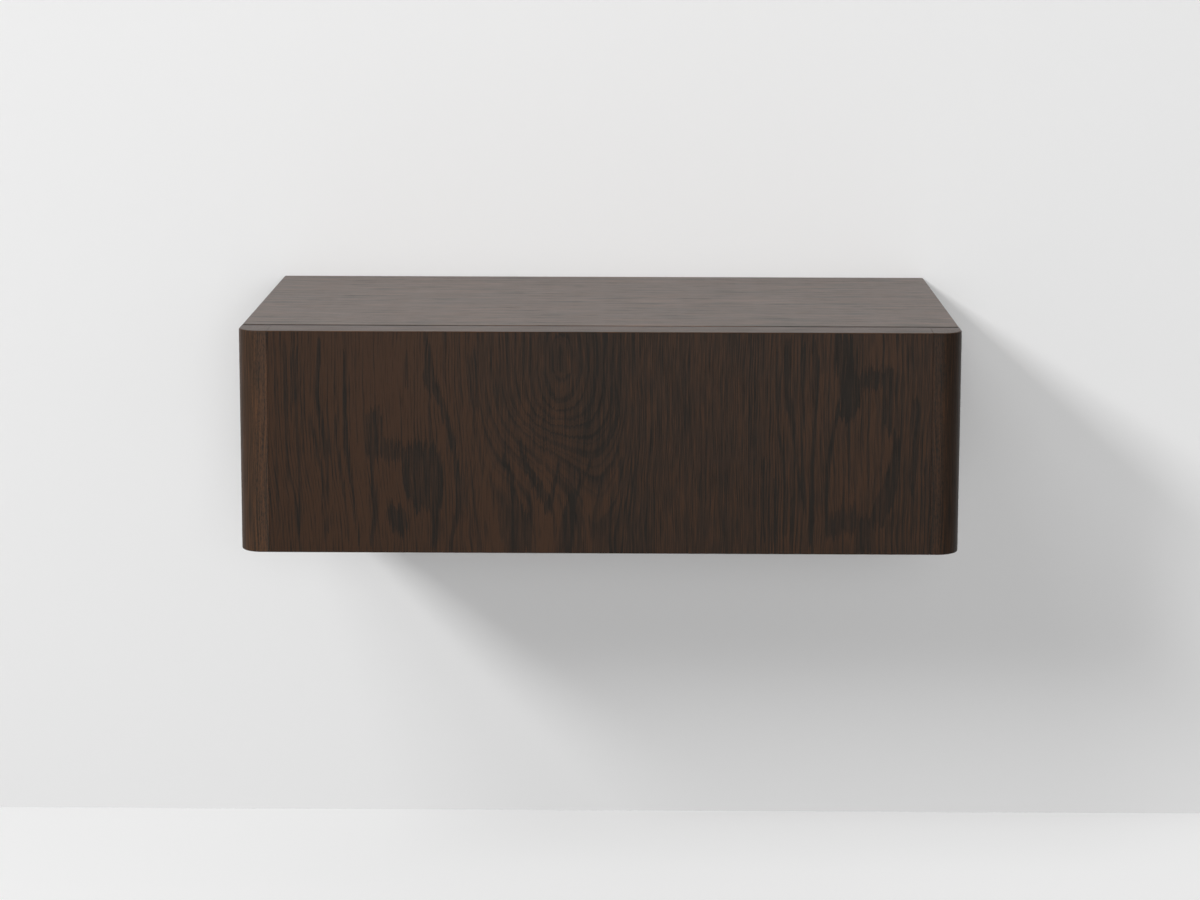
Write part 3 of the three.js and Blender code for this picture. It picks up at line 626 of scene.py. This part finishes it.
WARM_PATCHES = [
    (-180, 68, 46, 60, 0.5),
    (-172, -25, 9, 25, 0.5),
    (-206, -30, 12, 60, 0.3),
    (222, -15, 18, 45, 0.3),
    (244, 92, 16, 22, 0.4),
    (188, 60, 8, 50, 0.4),
    (-28, 79, 8, 8, 0.45),
    (-32, 62, 8, 6, 0.4),
    (-40, 46, 7, 6, 0.35),
    (-42, -14, 9, 20, 0.5),
    (-45, -62, 12, 22, 0.6),
    (-8, -62, 9, 22, 0.4),
]
PATCH_EDGE = (1.5, 0.5)

# The front's own forms of grain, and how far they move and shade the figure

FRONT_WANDER = Form(50, 110, 5)
FRONT_RIPPLE = Form(8, 45, 8)
FRONT_RAGGED = Form(1.7, 60, 3, 2, 0.6)
FRONT_FINELY_RAGGED = Form(0.8, 22, 4, 1)
FRONT_BROAD = Form(14, 130, 12)
FRONT_STREAKS = Form(1.7, 75, 9, 2, 0.65)
FRONT_THIN_STREAKS = Form(0.8, 24, 14, 1)
FRONT_LINE_SEED = 2
FRONT_THIN_LINE_SEED = 6
FRONT_PORE_SEED = 1
RINGS_WANDER_MM = 7
RINGS_RIPPLE_MM = 2.2
ARCS_RAGGED_MM = 9
ARCS_RIPPLE_MM = 6
UPRIGHT_WANDER_MM = 8
UPRIGHT_RIPPLE_MM = 1.5
MARKS_RAGGED_ACROSS_MM = 2.6
MARKS_RAGGED_UP_MM = 34
MARKS_FINELY_RAGGED_ACROSS_MM = 1.2
MARKS_FINELY_RAGGED_UP_MM = 16
PATCH_RIPPLE_MM = 12
PATCH_RAGGED_MM = 12
PATCH_WANDER_MM = 14
PATCH_TONE = 0.32
THIN_LINES_PER_RING = 2.6
FRONT_THIN_ALIKE = 0.35
AWAY_FROM_ARCS_TONE = 0.05
FRONT_STREAK_SHADE = 1.6
FRONT_THIN_STREAK_SHADE = 1.7
FRONT_LINE_SHADE = 0.52
FRONT_THIN_LINE_SHADE = 0.68
ARCS_THIN_LINES_PALER = 0.4
MARK_SHADE = 0.31
MARK_TONE_SHADE = 0.38
MARK_STREAKS = 1.4
FRONT_PORES = 0.35
FRONT_LINE_PORES = 0.35
FRONT_MARK_PORES = 0.2
UPPER_EDGE_SEED = 55
UPPER_EDGE_LINES_MM = 6.0


def curves_each(tree, term, lines):
    """Each part of a vector goes through its own curve; all numbers lie between -1 and 1."""
    node = tree.nodes.new("ShaderNodeVectorCurve")
    for line, points in zip(node.mapping.curves, lines):
        line.points[0].location = (-1, points[0][1])
        line.points[1].location = (1, points[-1][1])
        for place in points:
            line.points.new(*place)
        for point in line.points:
            point.handle_type = "AUTO_CLAMPED"
    node.mapping.update()
    feed(tree, node.inputs["Vector"], term)
    return Term(tree, node.outputs["Vector"])


def mark_lines(points):
    """The two curves of a mark by height: its middle and its half width."""
    upwards = list(reversed(points))
    middle = [(z / MARK_HEIGHT_MM, x / MARK_ACROSS_MM) for z, x, _ in upwards]
    widths = [(z, width) for z, _, width in upwards]
    below = (upwards[0][0] - MARK_END_MM, MARK_NOTHING_MM)
    above = (upwards[-1][0] + MARK_END_MM, MARK_NOTHING_MM)
    half_width = [(z / MARK_HEIGHT_MM, width / MARK_WIDTH_MM) for z, width in [below, *widths, above]]
    return middle, half_width


def three_marks(tree, height_share, across_share, marks):
    """The strongest of three dark marks at a point: each part of the vectors carries one mark."""
    middles, half_widths = zip(*[mark_lines(points) for _, points in marks])
    middle = curves_each(tree, height_share, middles)
    half_width = curves_each(tree, height_share, half_widths)
    away = vector_sum(tree, "ABSOLUTE", vector_sum(tree, "SUBTRACT", across_share, middle))
    reach_mm = vector_sum(tree, "MULTIPLY", half_width, (MARK_WIDTH_MM,) * 3)
    away_mm = vector_sum(tree, "MULTIPLY", away, (MARK_ACROSS_MM,) * 3)
    covered = soft_step_each(tree, vector_sum(tree, "SUBTRACT", reach_mm, away_mm), *MARK_EDGE_MM)
    strengths = tuple(strength for strength, _ in marks)
    first, second, third = parts_of(tree, vector_sum(tree, "MULTIPLY", covered, strengths))
    return first.most(second).most(third)


def dark_marks(tree, across_mm, height_mm):
    """The strongest of all dark marks at a point. The last marks are repeated to make up three."""
    height_share = thrice(tree, height_mm / MARK_HEIGHT_MM)
    across_share = thrice(tree, across_mm / MARK_ACROSS_MM)
    groups = [DARK_MARKS[i:i + 3] for i in range(0, len(DARK_MARKS), 3)]
    groups[-1] = (groups[-1] * 3)[:3]
    dark = three_marks(tree, height_share, across_share, groups[0])
    for group in groups[1:]:
        dark = dark.most(three_marks(tree, height_share, across_share, group))
    return dark


def patch(tree, place, middle_x, middle_z, half_width, half_height, strength):
    from_middle = vector_sum(tree, "SUBTRACT", place, (middle_x, middle_z, 0))
    scaled = vector_sum(tree, "DIVIDE", from_middle, (half_width, half_height, 1))
    return soft_step(vector_sum(tree, "LENGTH", scaled), *PATCH_EDGE) * strength


def count_rings(tree, x, z, wander, ripple, ragged):
    """The count of growth lines at a point, its place across once the figure is drawn in, and how near
    it is to the arcs."""
    leaning = x - curve(z, LEAN_BY_HEIGHT) * soft_step(x, *LEAN_FADES_MM)
    from_middle = leaning - PINCH_MIDDLE_MM
    pinch = hump(from_middle / PINCH_REACH_MM) * curve(z, PINCH_BY_HEIGHT)
    moved = PINCH_MIDDLE_MM + from_middle * (pinch + 1) + wander * RINGS_WANDER_MM + ripple * RINGS_RIPPLE_MM
    rings = abs(curve(moved, RING_COUNTS))
    reach = hump(from_middle / ARC_REACH_MM)
    arcs = abs(curve(z + ragged * ARCS_RAGGED_MM + ripple * ARCS_RIPPLE_MM, ARC_COUNTS)) * reach
    count = (rings.power(ARC_ROUNDNESS) + arcs.power(ARC_ROUNDNESS)).power(1 / ARC_ROUNDNESS)
    return count, moved, soft_step(reach, *NEAR_ARCS)


def front_figure(tree, x, z):
    """The photographed figure: nested arcs round an eye, straight grain, dark marks."""
    wander = grain(tree, x, z, FRONT_WANDER)
    ripple = grain(tree, x, z, FRONT_RIPPLE)
    ragged = grain(tree, x, z, FRONT_RAGGED)
    finely_ragged = grain(tree, x, z, FRONT_FINELY_RAGGED)
    count, moved, near_arcs = count_rings(tree, x, z, wander, ripple, ragged)
    lines = ring_lines(tree, count, z, FRONT_LINE_SEED, near_arcs) * curve(x, LINE_STRENGTHS)
    thin_lines = ring_lines(tree, count * THIN_LINES_PER_RING, z, FRONT_THIN_LINE_SEED, FRONT_THIN_ALIKE)

    upright = x + wander * UPRIGHT_WANDER_MM + ripple * UPRIGHT_RIPPLE_MM
    streaks = grain(tree, upright, z, FRONT_STREAKS)
    thin_streaks = grain(tree, upright, z, FRONT_THIN_STREAKS)
    broad = grain(tree, moved, z, FRONT_BROAD)
    pores = pores_at(tree, upright, z, FRONT_PORE_SEED)

    marks_x = x + ragged * MARKS_RAGGED_ACROSS_MM + finely_ragged * MARKS_FINELY_RAGGED_ACROSS_MM
    marks_z = z + ragged * MARKS_RAGGED_UP_MM + finely_ragged * MARKS_FINELY_RAGGED_UP_MM
    dark = dark_marks(tree, marks_x, marks_z)
    patch_x = x + ripple * PATCH_RIPPLE_MM
    patch_z = z + ragged * PATCH_RAGGED_MM + wander * PATCH_WANDER_MM
    blurred = vector(tree, patch_x, patch_z)
    warm = patch(tree, blurred, *WARM_PATCHES[0])
    for warm_patch in WARM_PATCHES[1:]:
        warm = warm + patch(tree, blurred, *warm_patch)

    # The tone across holds painted light as well as the wood's own tone: the left part is painted paler
    tone = curve(x, TONE_AND_PAINTED_LIGHT_ACROSS) + (1 - near_arcs) * AWAY_FROM_ARCS_TONE
    tone = tone + broad * BROAD_SHADE + warm * PATCH_TONE
    tone = tone + streaks * FRONT_STREAK_SHADE + thin_streaks * FRONT_THIN_STREAK_SHADE
    tone = tone - lines * FRONT_LINE_SHADE
    tone = tone - thin_lines * (FRONT_THIN_LINE_SHADE - near_arcs * ARCS_THIN_LINES_PALER)
    tone = tone - near_arcs * rescale(z, *ARCS_DARKER)
    tone = tone - dark * (MARK_SHADE + tone * MARK_TONE_SHADE - streaks * MARK_STREAKS)
    return tone, pores * (FRONT_PORES + lines * FRONT_LINE_PORES + dark * FRONT_MARK_PORES)


def oak_front_material():
    material, tree, shader = new_material("oak_front")
    x, y, z = place_mm(tree)
    face_tone, face_pores = front_figure(tree, x, z)
    edge_tone, edge_pores = plain_figure(tree, y, x, UPPER_EDGE_SEED, UPPER_EDGE_LINES_MM)
    edge = upper_edge(tree)
    tone = blend_terms(edge, face_tone, edge_tone)
    pores = blend_terms(edge, face_pores, edge_pores)
    # Painted light: the upper edge is painted paler than the face
    finish_oak(tree, shader, tone, pores, blend_terms(edge, 1.0, UPPER_EDGE_PAINTED_LIGHTER),
               roughness=OAK_ROUGHNESS - edge * UPPER_EDGE_SMOOTHER)
    return material


# Birch plywood: veneer on its faces, stacked plies on its edges

BIRCH_LIGHT = (0.640, 0.475, 0.290)
BIRCH_WARM = (0.520, 0.345, 0.185)
BIRCH_FLECK = (0.300, 0.170, 0.080)
BIRCH_END_GRAIN = (0.360, 0.225, 0.115)
BIRCH_WANDER = Form(70, 260, 3)
BIRCH_WANDER_MM = 60
BIRCH_FIGURE = Form(11, 190, 5, 3)
BIRCH_FLECKS = Form(0.6, 5, 8, 1)
BIRCH_FLECK_LIMITS = (0.17, 0.25)
BIRCH_FLECK_SHADE = 0.5
BIRCH_STREAKS = Form(1.4, 60, 11, 2)
BIRCH_STREAK_SHARE = 0.4
BIRCH_WARM_LIMITS = (-0.25, 0.3)
BIRCH_ROUGHNESS = 0.38
BIRCH_EDGE_ROUGHER = 0.2
BIRCH_FLECK_ROUGHER = 0.1
BIRCH_FIGURE_ROUGHER = 0.08
BIRCH_RELIEF_MM = 0.03
BIRCH_EDGE_LIMITS = (0.9, 0.8)
PLY_MM = 1.4
PLY_UNEVEN_MM = 2.5
PLY_WAVES = 0.06
PLY_CHANGE = (0.46, 0.54)
PLY_END_GRAIN_SHADE = 0.8
PLY_UNEVEN_SHADE = 0.9
GLUE_LIMITS = (0.42, 0.49)
GLUE_SHADE = 0.35
GLUE_DEPTH_MM = 0.04


def birch_material(name, through, along):
    """A board whose thickness runs along the axis through and whose grain runs along the axis along."""
    material, tree, shader = new_material(name)
    place = dict(zip("xyz", place_mm(tree)))
    looks = dict(zip("xyz", face_way(tree)))
    across_mm = next(place[axis] for axis in "xyz" if axis not in (through, along))
    along_mm = place[along]
    wander = grain(tree, across_mm, along_mm, BIRCH_WANDER)
    figure = grain(tree, across_mm + wander * BIRCH_WANDER_MM, along_mm, BIRCH_FIGURE)
    flecks = soft_step(grain(tree, across_mm, along_mm, BIRCH_FLECKS), *BIRCH_FLECK_LIMITS)
    streaks = grain(tree, across_mm, along_mm, BIRCH_STREAKS)
    warmth = soft_step(figure + streaks * BIRCH_STREAK_SHARE, *BIRCH_WARM_LIMITS)
    veneer = blend_colours(warmth, BIRCH_LIGHT, BIRCH_WARM)
    veneer = blend_colours(flecks * BIRCH_FLECK_SHADE, veneer, BIRCH_FLECK)

    ply = place[through] / PLY_MM
    uneven = swing(tree, place_in_steps(tree, PLY_UNEVEN_MM), detail=3)
    end_grain = soft_step((ply * 0.5 + uneven * PLY_WAVES).fraction(), *PLY_CHANGE)
    glue = soft_step(abs(ply.fraction() - 0.5), *GLUE_LIMITS)
    darker = end_grain * PLY_END_GRAIN_SHADE + uneven * PLY_UNEVEN_SHADE + glue * GLUE_SHADE
    plies = blend_colours(darker, BIRCH_LIGHT, BIRCH_END_GRAIN)

    on_edge = soft_step(looks[through], *BIRCH_EDGE_LIMITS)
    feed(tree, shader.inputs["Base Color"], blend_colours(on_edge, veneer, plies))
    rougher = on_edge * BIRCH_EDGE_ROUGHER + flecks * BIRCH_FLECK_ROUGHER + figure * BIRCH_FIGURE_ROUGHER
    feed(tree, shader.inputs["Roughness"], BIRCH_ROUGHNESS + rougher)
    face_relief = (streaks - flecks) * BIRCH_RELIEF_MM
    edge_relief = on_edge * (glue * GLUE_DEPTH_MM + end_grain * BIRCH_RELIEF_MM)
    bump(tree, shader, face_relief - edge_relief)
    return material


# Metal, plastic and rubber

ZINC_COOL = (0.600, 0.620, 0.640)
ZINC_WARM = (0.660, 0.660, 0.645)
CAGE_DARK = (0.400, 0.400, 0.395)
CAGE_LIGHT = (0.560, 0.560, 0.550)
SCREW_COOL = (0.500, 0.515, 0.530)
SCREW_WARM = (0.640, 0.615, 0.550)
METAL_CLOUDS_MM = (9, 16)
METAL_CLOUD_LIMITS = (-0.2, 0.2)
METAL_LINE_ROUGHER = 0.14
METAL_CLOUD_ROUGHER = 0.1
METAL_LINE_DEPTH_MM = 0.012
PLASTIC = (0.0120, 0.0125, 0.0130)
PLASTIC_SCUFFED = (0.0220, 0.0225, 0.0230)
RUBBER_CLEAN = (0.125, 0.118, 0.108)
RUBBER_DUSTY = (0.175, 0.168, 0.155)
USE_SPOT_MM = 6
USE_LIMITS = (0.45, 0.75)
USE_ROUGHER = 0.12
TEXTURE_ROUGHER = 0.1


def metal_material(name, cool, warm, roughness, line_mm, along_mm):
    """Plated metal with lines of line_mm that run along y for along_mm, and cloudy plating."""
    material, tree, shader = new_material(name)
    x, y, z = place_mm(tree)
    cloud_mm, cloud_along_mm = METAL_CLOUDS_MM
    lines = swing(tree, vector(tree, x / line_mm, y / along_mm, z / line_mm))
    clouds = blotches(tree, vector(tree, x / cloud_mm, y / cloud_along_mm, z / cloud_mm)) - 0.5
    feed(tree, shader.inputs["Base Color"], blend_colours(soft_step(clouds, *METAL_CLOUD_LIMITS), cool, warm))
    shader.inputs["Metallic"].default_value = 1
    rougher = lines * METAL_LINE_ROUGHER + clouds * METAL_CLOUD_ROUGHER
    feed(tree, shader.inputs["Roughness"], roughness + rougher)
    bump(tree, shader, lines * METAL_LINE_DEPTH_MM)
    return material


def moulded_material(name, clean, used, roughness, texture_mm, depth_mm):
    """Moulded plastic or rubber with a fine even texture and a trace of use."""
    material, tree, shader = new_material(name)
    texture = swing(tree, place_in_steps(tree, texture_mm))
    use = soft_step(blotches(tree, place_in_steps(tree, USE_SPOT_MM)), *USE_LIMITS)
    feed(tree, shader.inputs["Base Color"], blend_colours(use, clean, used))
    feed(tree, shader.inputs["Roughness"], roughness + use * USE_ROUGHER + texture * TEXTURE_ROUGHER)
    bump(tree, shader, texture * depth_mm)
    return material


# Fine edges: modifiers weld the CAD faces, round what is still sharp and shade curved faces smooth

WELD_REACH = 1e-6
FLAT_ANGLE = math.radians(0.5)
SHARP_ANGLE = math.radians(32)
ROUNDING_STEPS = 2
ROUNDING_MM = {"oak_front": 0.07, "oak_post": 0.07, "oak_top": 0.4, "oak_case": 0.4, "birch": 0.5,
               "slide_steel": 0.12, "ball_cage": 0.05, "screw_steel": 0.12,
               "black_plastic": 0.3, "rubber": 0.2}


def node_group(name, fill_in):
    """A geometry group from its input to its output, through the nodes that fill_in adds."""
    group = bpy.data.node_groups.new(name, "GeometryNodeTree")
    group.interface.new_socket("Geometry", in_out="INPUT", socket_type="NodeSocketGeometry")
    group.interface.new_socket("Geometry", in_out="OUTPUT", socket_type="NodeSocketGeometry")
    start = group.nodes.new("NodeGroupInput")
    end = group.nodes.new("NodeGroupOutput")
    group.links.new(fill_in(group, start.outputs[0]), end.inputs[0])
    return group


def weld(group, geometry):
    unnamed = group.nodes.new("GeometryNodeRemoveAttribute")
    unnamed.inputs["Name"].default_value = "custom_normal"
    merge = group.nodes.new("GeometryNodeMergeByDistance")
    merge.inputs["Distance"].default_value = WELD_REACH
    group.links.new(geometry, unnamed.inputs["Geometry"])
    group.links.new(unnamed.outputs["Geometry"], merge.inputs["Geometry"])
    return merge.outputs["Geometry"]


def shade_by_angle(group, geometry):
    faces = group.nodes.new("GeometryNodeSetShadeSmooth")
    faces.domain = "FACE"
    edges = group.nodes.new("GeometryNodeSetShadeSmooth")
    edges.domain = "EDGE"
    edges.inputs["Shade Smooth"].default_value = False
    angle = group.nodes.new("GeometryNodeInputMeshEdgeAngle")
    compare = group.nodes.new("FunctionNodeCompare")
    compare.operation = "GREATER_THAN"
    compare.inputs[1].default_value = SHARP_ANGLE
    group.links.new(angle.outputs["Unsigned Angle"], compare.inputs[0])
    group.links.new(geometry, faces.inputs["Geometry"])
    group.links.new(faces.outputs["Geometry"], edges.inputs["Geometry"])
    group.links.new(compare.outputs[0], edges.inputs["Selection"])
    return edges.outputs["Geometry"]


def finish_edges(piece, rounding_mm, weld_group, shade_group):
    piece.modifiers.new("weld", "NODES").node_group = weld_group
    flat = piece.modifiers.new("join_flat_faces", "DECIMATE")
    flat.decimate_type = "DISSOLVE"
    flat.angle_limit = FLAT_ANGLE
    bevel = piece.modifiers.new("round_edges", "BEVEL")
    bevel.width = rounding_mm / PER_METRE_MM
    bevel.segments = ROUNDING_STEPS
    bevel.limit_method = "ANGLE"
    bevel.angle_limit = SHARP_ANGLE
    piece.modifiers.new("shade", "NODES").node_group = shade_group
    weighted = piece.modifiers.new("even_shading", "WEIGHTED_NORMAL")
    weighted.keep_sharp = True


def slot_materials():
    """The material of each slot of the record."""
    return {
        "oak_front": oak_front_material(),
        "oak_post": oak_post_material(),
        "oak_top": oak_top_material(),
        "oak_case": oak_side_material(),
        "birch": birch_material("birch_upright", through="y", along="x"),
        "slide_steel": metal_material("slide_steel", ZINC_COOL, ZINC_WARM,
                                      roughness=0.27, line_mm=0.3, along_mm=60),
        "ball_cage": metal_material("ball_cage", CAGE_DARK, CAGE_LIGHT,
                                    roughness=0.24, line_mm=0.4, along_mm=8),
        "screw_steel": metal_material("screw_steel", SCREW_COOL, SCREW_WARM,
                                      roughness=0.3, line_mm=0.5, along_mm=0.5),
        "black_plastic": moulded_material("black_plastic", PLASTIC, PLASTIC_SCUFFED,
                                          roughness=0.46, texture_mm=0.3, depth_mm=0.02),
        "rubber": moulded_material("rubber", RUBBER_CLEAN, RUBBER_DUSTY,
                                   roughness=0.62, texture_mm=0.8, depth_mm=0.03),
    }


def node_materials():
    """The boards whose grain runs another way than that of their slot."""
    oak_flat = oak_flat_material()
    birch_side = birch_material("birch_side", through="x", along="y")
    return {
        "case_bottom": oak_flat,
        "back_panel": oak_flat,
        "box_side_left": birch_side,
        "box_side_right": birch_side,
        "box_bottom": birch_material("birch_flat", through="z", along="x"),
    }


def dress():
    of_slot = slot_materials()
    of_node = node_materials()
    weld_group = node_group("weld_faces", weld)
    shade_group = node_group("shade_by_angle", shade_by_angle)
    slot_of = {part["node"]: part["material_slot"] for part in frame["record"]["subparts"]}
    for name, piece in nodes.items():
        slot = slot_of[name]
        piece.material_slots[0].material = of_node.get(name, of_slot[slot])
        finish_edges(piece, ROUNDING_MM[slot], weld_group, shade_group)


# Floor and wall. The wall has an opening behind the case, and lets light and the view through from
# behind, so that the case's back can be seen and is lit.

FLOOR_Z = -0.420
STAGE_REACH = 6.0
WALL_AIR = 0.0005
WALL_OPENING_INSET = 0.004
STAGE_COLOUR = (0.84, 0.84, 0.84)
STAGE_ROUGHNESS = 0.9
STAGE_SPECULAR = 0.1
FLOOR_GLOW = 0.37
FLOOR_SHEDS = 0.38
WALL_GLOW = 0.066
WHITE = (1, 1, 1, 1)


def stage_material(name, lets_light_through, glow, sheds=1.0):
    """Pale paint. Its glow shows only to the camera and in reflections, and lights nothing. It sheds
    only a share of its light on other surfaces."""
    material, tree, shader = new_material(name)
    shader.inputs["Roughness"].default_value = STAGE_ROUGHNESS
    shader.inputs["Specular IOR Level"].default_value = STAGE_SPECULAR
    shader.inputs["Emission Color"].default_value = WHITE
    path = tree.nodes.new("ShaderNodeLightPath")
    seen = Term(tree, path.outputs["Is Camera Ray"]).most(Term(tree, path.outputs["Is Glossy Ray"]))
    feed(tree, shader.inputs["Emission Strength"], seen * glow)
    share = blend_terms(Term(tree, path.outputs["Is Diffuse Ray"]), 1.0, sheds)
    feed(tree, shader.inputs["Base Color"], vector_sum(tree, "MULTIPLY", STAGE_COLOUR, thrice(tree, share)))
    geometry = tree.nodes.new("ShaderNodeNewGeometry")
    unseen = Term(tree, geometry.outputs["Backfacing"])
    if lets_light_through:
        unseen = unseen.most(Term(tree, path.outputs["Is Shadow Ray"]))
        unseen = unseen.most(Term(tree, path.outputs["Is Diffuse Ray"]))
    clear = tree.nodes.new("ShaderNodeBsdfTransparent")
    choice = tree.nodes.new("ShaderNodeMixShader")
    feed(tree, choice.inputs["Fac"], unseen)
    tree.links.new(shader.outputs[0], choice.inputs[1])
    tree.links.new(clear.outputs[0], choice.inputs[2])
    tree.links.new(choice.outputs[0], tree.nodes["Material Output"].inputs["Surface"])
    return material


def stage_object(name, corners, faces, material):
    mesh = bpy.data.meshes.new(name)
    mesh.from_pydata(corners, [], faces)
    mesh.materials.append(material)
    sheet = bpy.data.objects.new(name, mesh)
    scene.collection.objects.link(sheet)


def rectangle(left, right, bottom, top):
    return [(left, bottom), (right, bottom), (right, top), (left, top)]


def make_stage():
    reach = STAGE_REACH
    floor = [(x, y, FLOOR_Z) for x, y in rectangle(-reach, reach, -reach, reach)]
    floor_paint = stage_material("floor_paint", False, FLOOR_GLOW, FLOOR_SHEDS)
    stage_object("floor", floor, [(0, 1, 2, 3)], floor_paint)
    low, high = cad_box
    inset = WALL_OPENING_INSET
    opening = rectangle(low.x + inset, high.x - inset, low.z + inset, high.z - inset)
    outline = rectangle(-reach, reach, FLOOR_Z, reach)
    corners = [(x, WALL_AIR, z) for x, z in outline + opening]
    faces = [(i, (i + 1) % 4, 4 + (i + 1) % 4, 4 + i) for i in range(4)]
    stage_object("wall", corners, faces, stage_material("wall_paint", True, WALL_GLOW))


# Lights: a long soft one at the upper left, a higher and weaker one beside it, and one in front

KEY_PLACE = Vector((-5.2, -6.3, 4.3))
KEY_SIZE = (3.6, 1.3)
KEY_POWER = 366
HIGH_PLACE = Vector((-3.4, -5.2, 6.3))
HIGH_SIZE = (2.6, 2.6)
HIGH_POWER = 96
FILL_PLACE = Vector((0.3, -6.0, 0.7))
FILL_SIZE = (2.0, 1.6)
FILL_POWER = 112
LIGHTS_AIM = Vector((0, -0.2, 0))


def area_light(name, place, size, power):
    data = bpy.data.lights.new(name, "AREA")
    data.shape = "RECTANGLE"
    data.size, data.size_y = size
    data.energy = power
    light = bpy.data.objects.new(name, data)
    scene.collection.objects.link(light)
    light.location = place
    back = (place - LIGHTS_AIM).normalized()
    along = (Vector((0, 1, 0)) - back * back.y).normalized()
    painted_side_light = back.cross(along)
    light.rotation_mode = "QUATERNION"
    light.rotation_quaternion = Matrix((along, painted_side_light, back)).transposed().to_quaternion()


# The pale room: how much light it sheds, how bright the camera sees it, and how bright reflections see
# it, which is brighter on its left and beyond the wall

ROOM_LIGHT = 0.22
ROOM_SEEN = 0.9
ROOM_REFLECTED = 0.28
ROOM_LEFT_BRIGHTER = 0.22
ROOM_BEYOND_BRIGHTER = 0.45
ROOM_BEYOND = (-0.2, 0.3)


def make_world():
    world = bpy.data.worlds.new("world")
    scene.world = world
    world.use_nodes = True
    tree = world.node_tree
    background = tree.nodes["Background"]
    path = tree.nodes.new("ShaderNodeLightPath")
    seen = Term(tree, path.outputs["Is Camera Ray"])
    mirrored = Term(tree, path.outputs["Is Glossy Ray"]).most(Term(tree, path.outputs["Is Transmission Ray"]))
    coordinates = tree.nodes.new("ShaderNodeTexCoord")
    x, y, z = parts_of(tree, Term(tree, coordinates.outputs["Generated"]))
    reflected = ROOM_REFLECTED - x * ROOM_LEFT_BRIGHTER + soft_step(y, *ROOM_BEYOND) * ROOM_BEYOND_BRIGHTER
    level = blend_terms(mirrored, ROOM_LIGHT, reflected)
    feed(tree, background.inputs["Strength"], blend_terms(seen, level, ROOM_SEEN))
    background.inputs["Color"].default_value = WHITE


dress()
make_camera()
make_stage()
make_world()
area_light("key", KEY_PLACE, KEY_SIZE, KEY_POWER)
area_light("high", HIGH_PLACE, HIGH_SIZE, HIGH_POWER)
area_light("fill", FILL_PLACE, FILL_SIZE, FILL_POWER)
scene.view_settings.view_transform = "Standard"
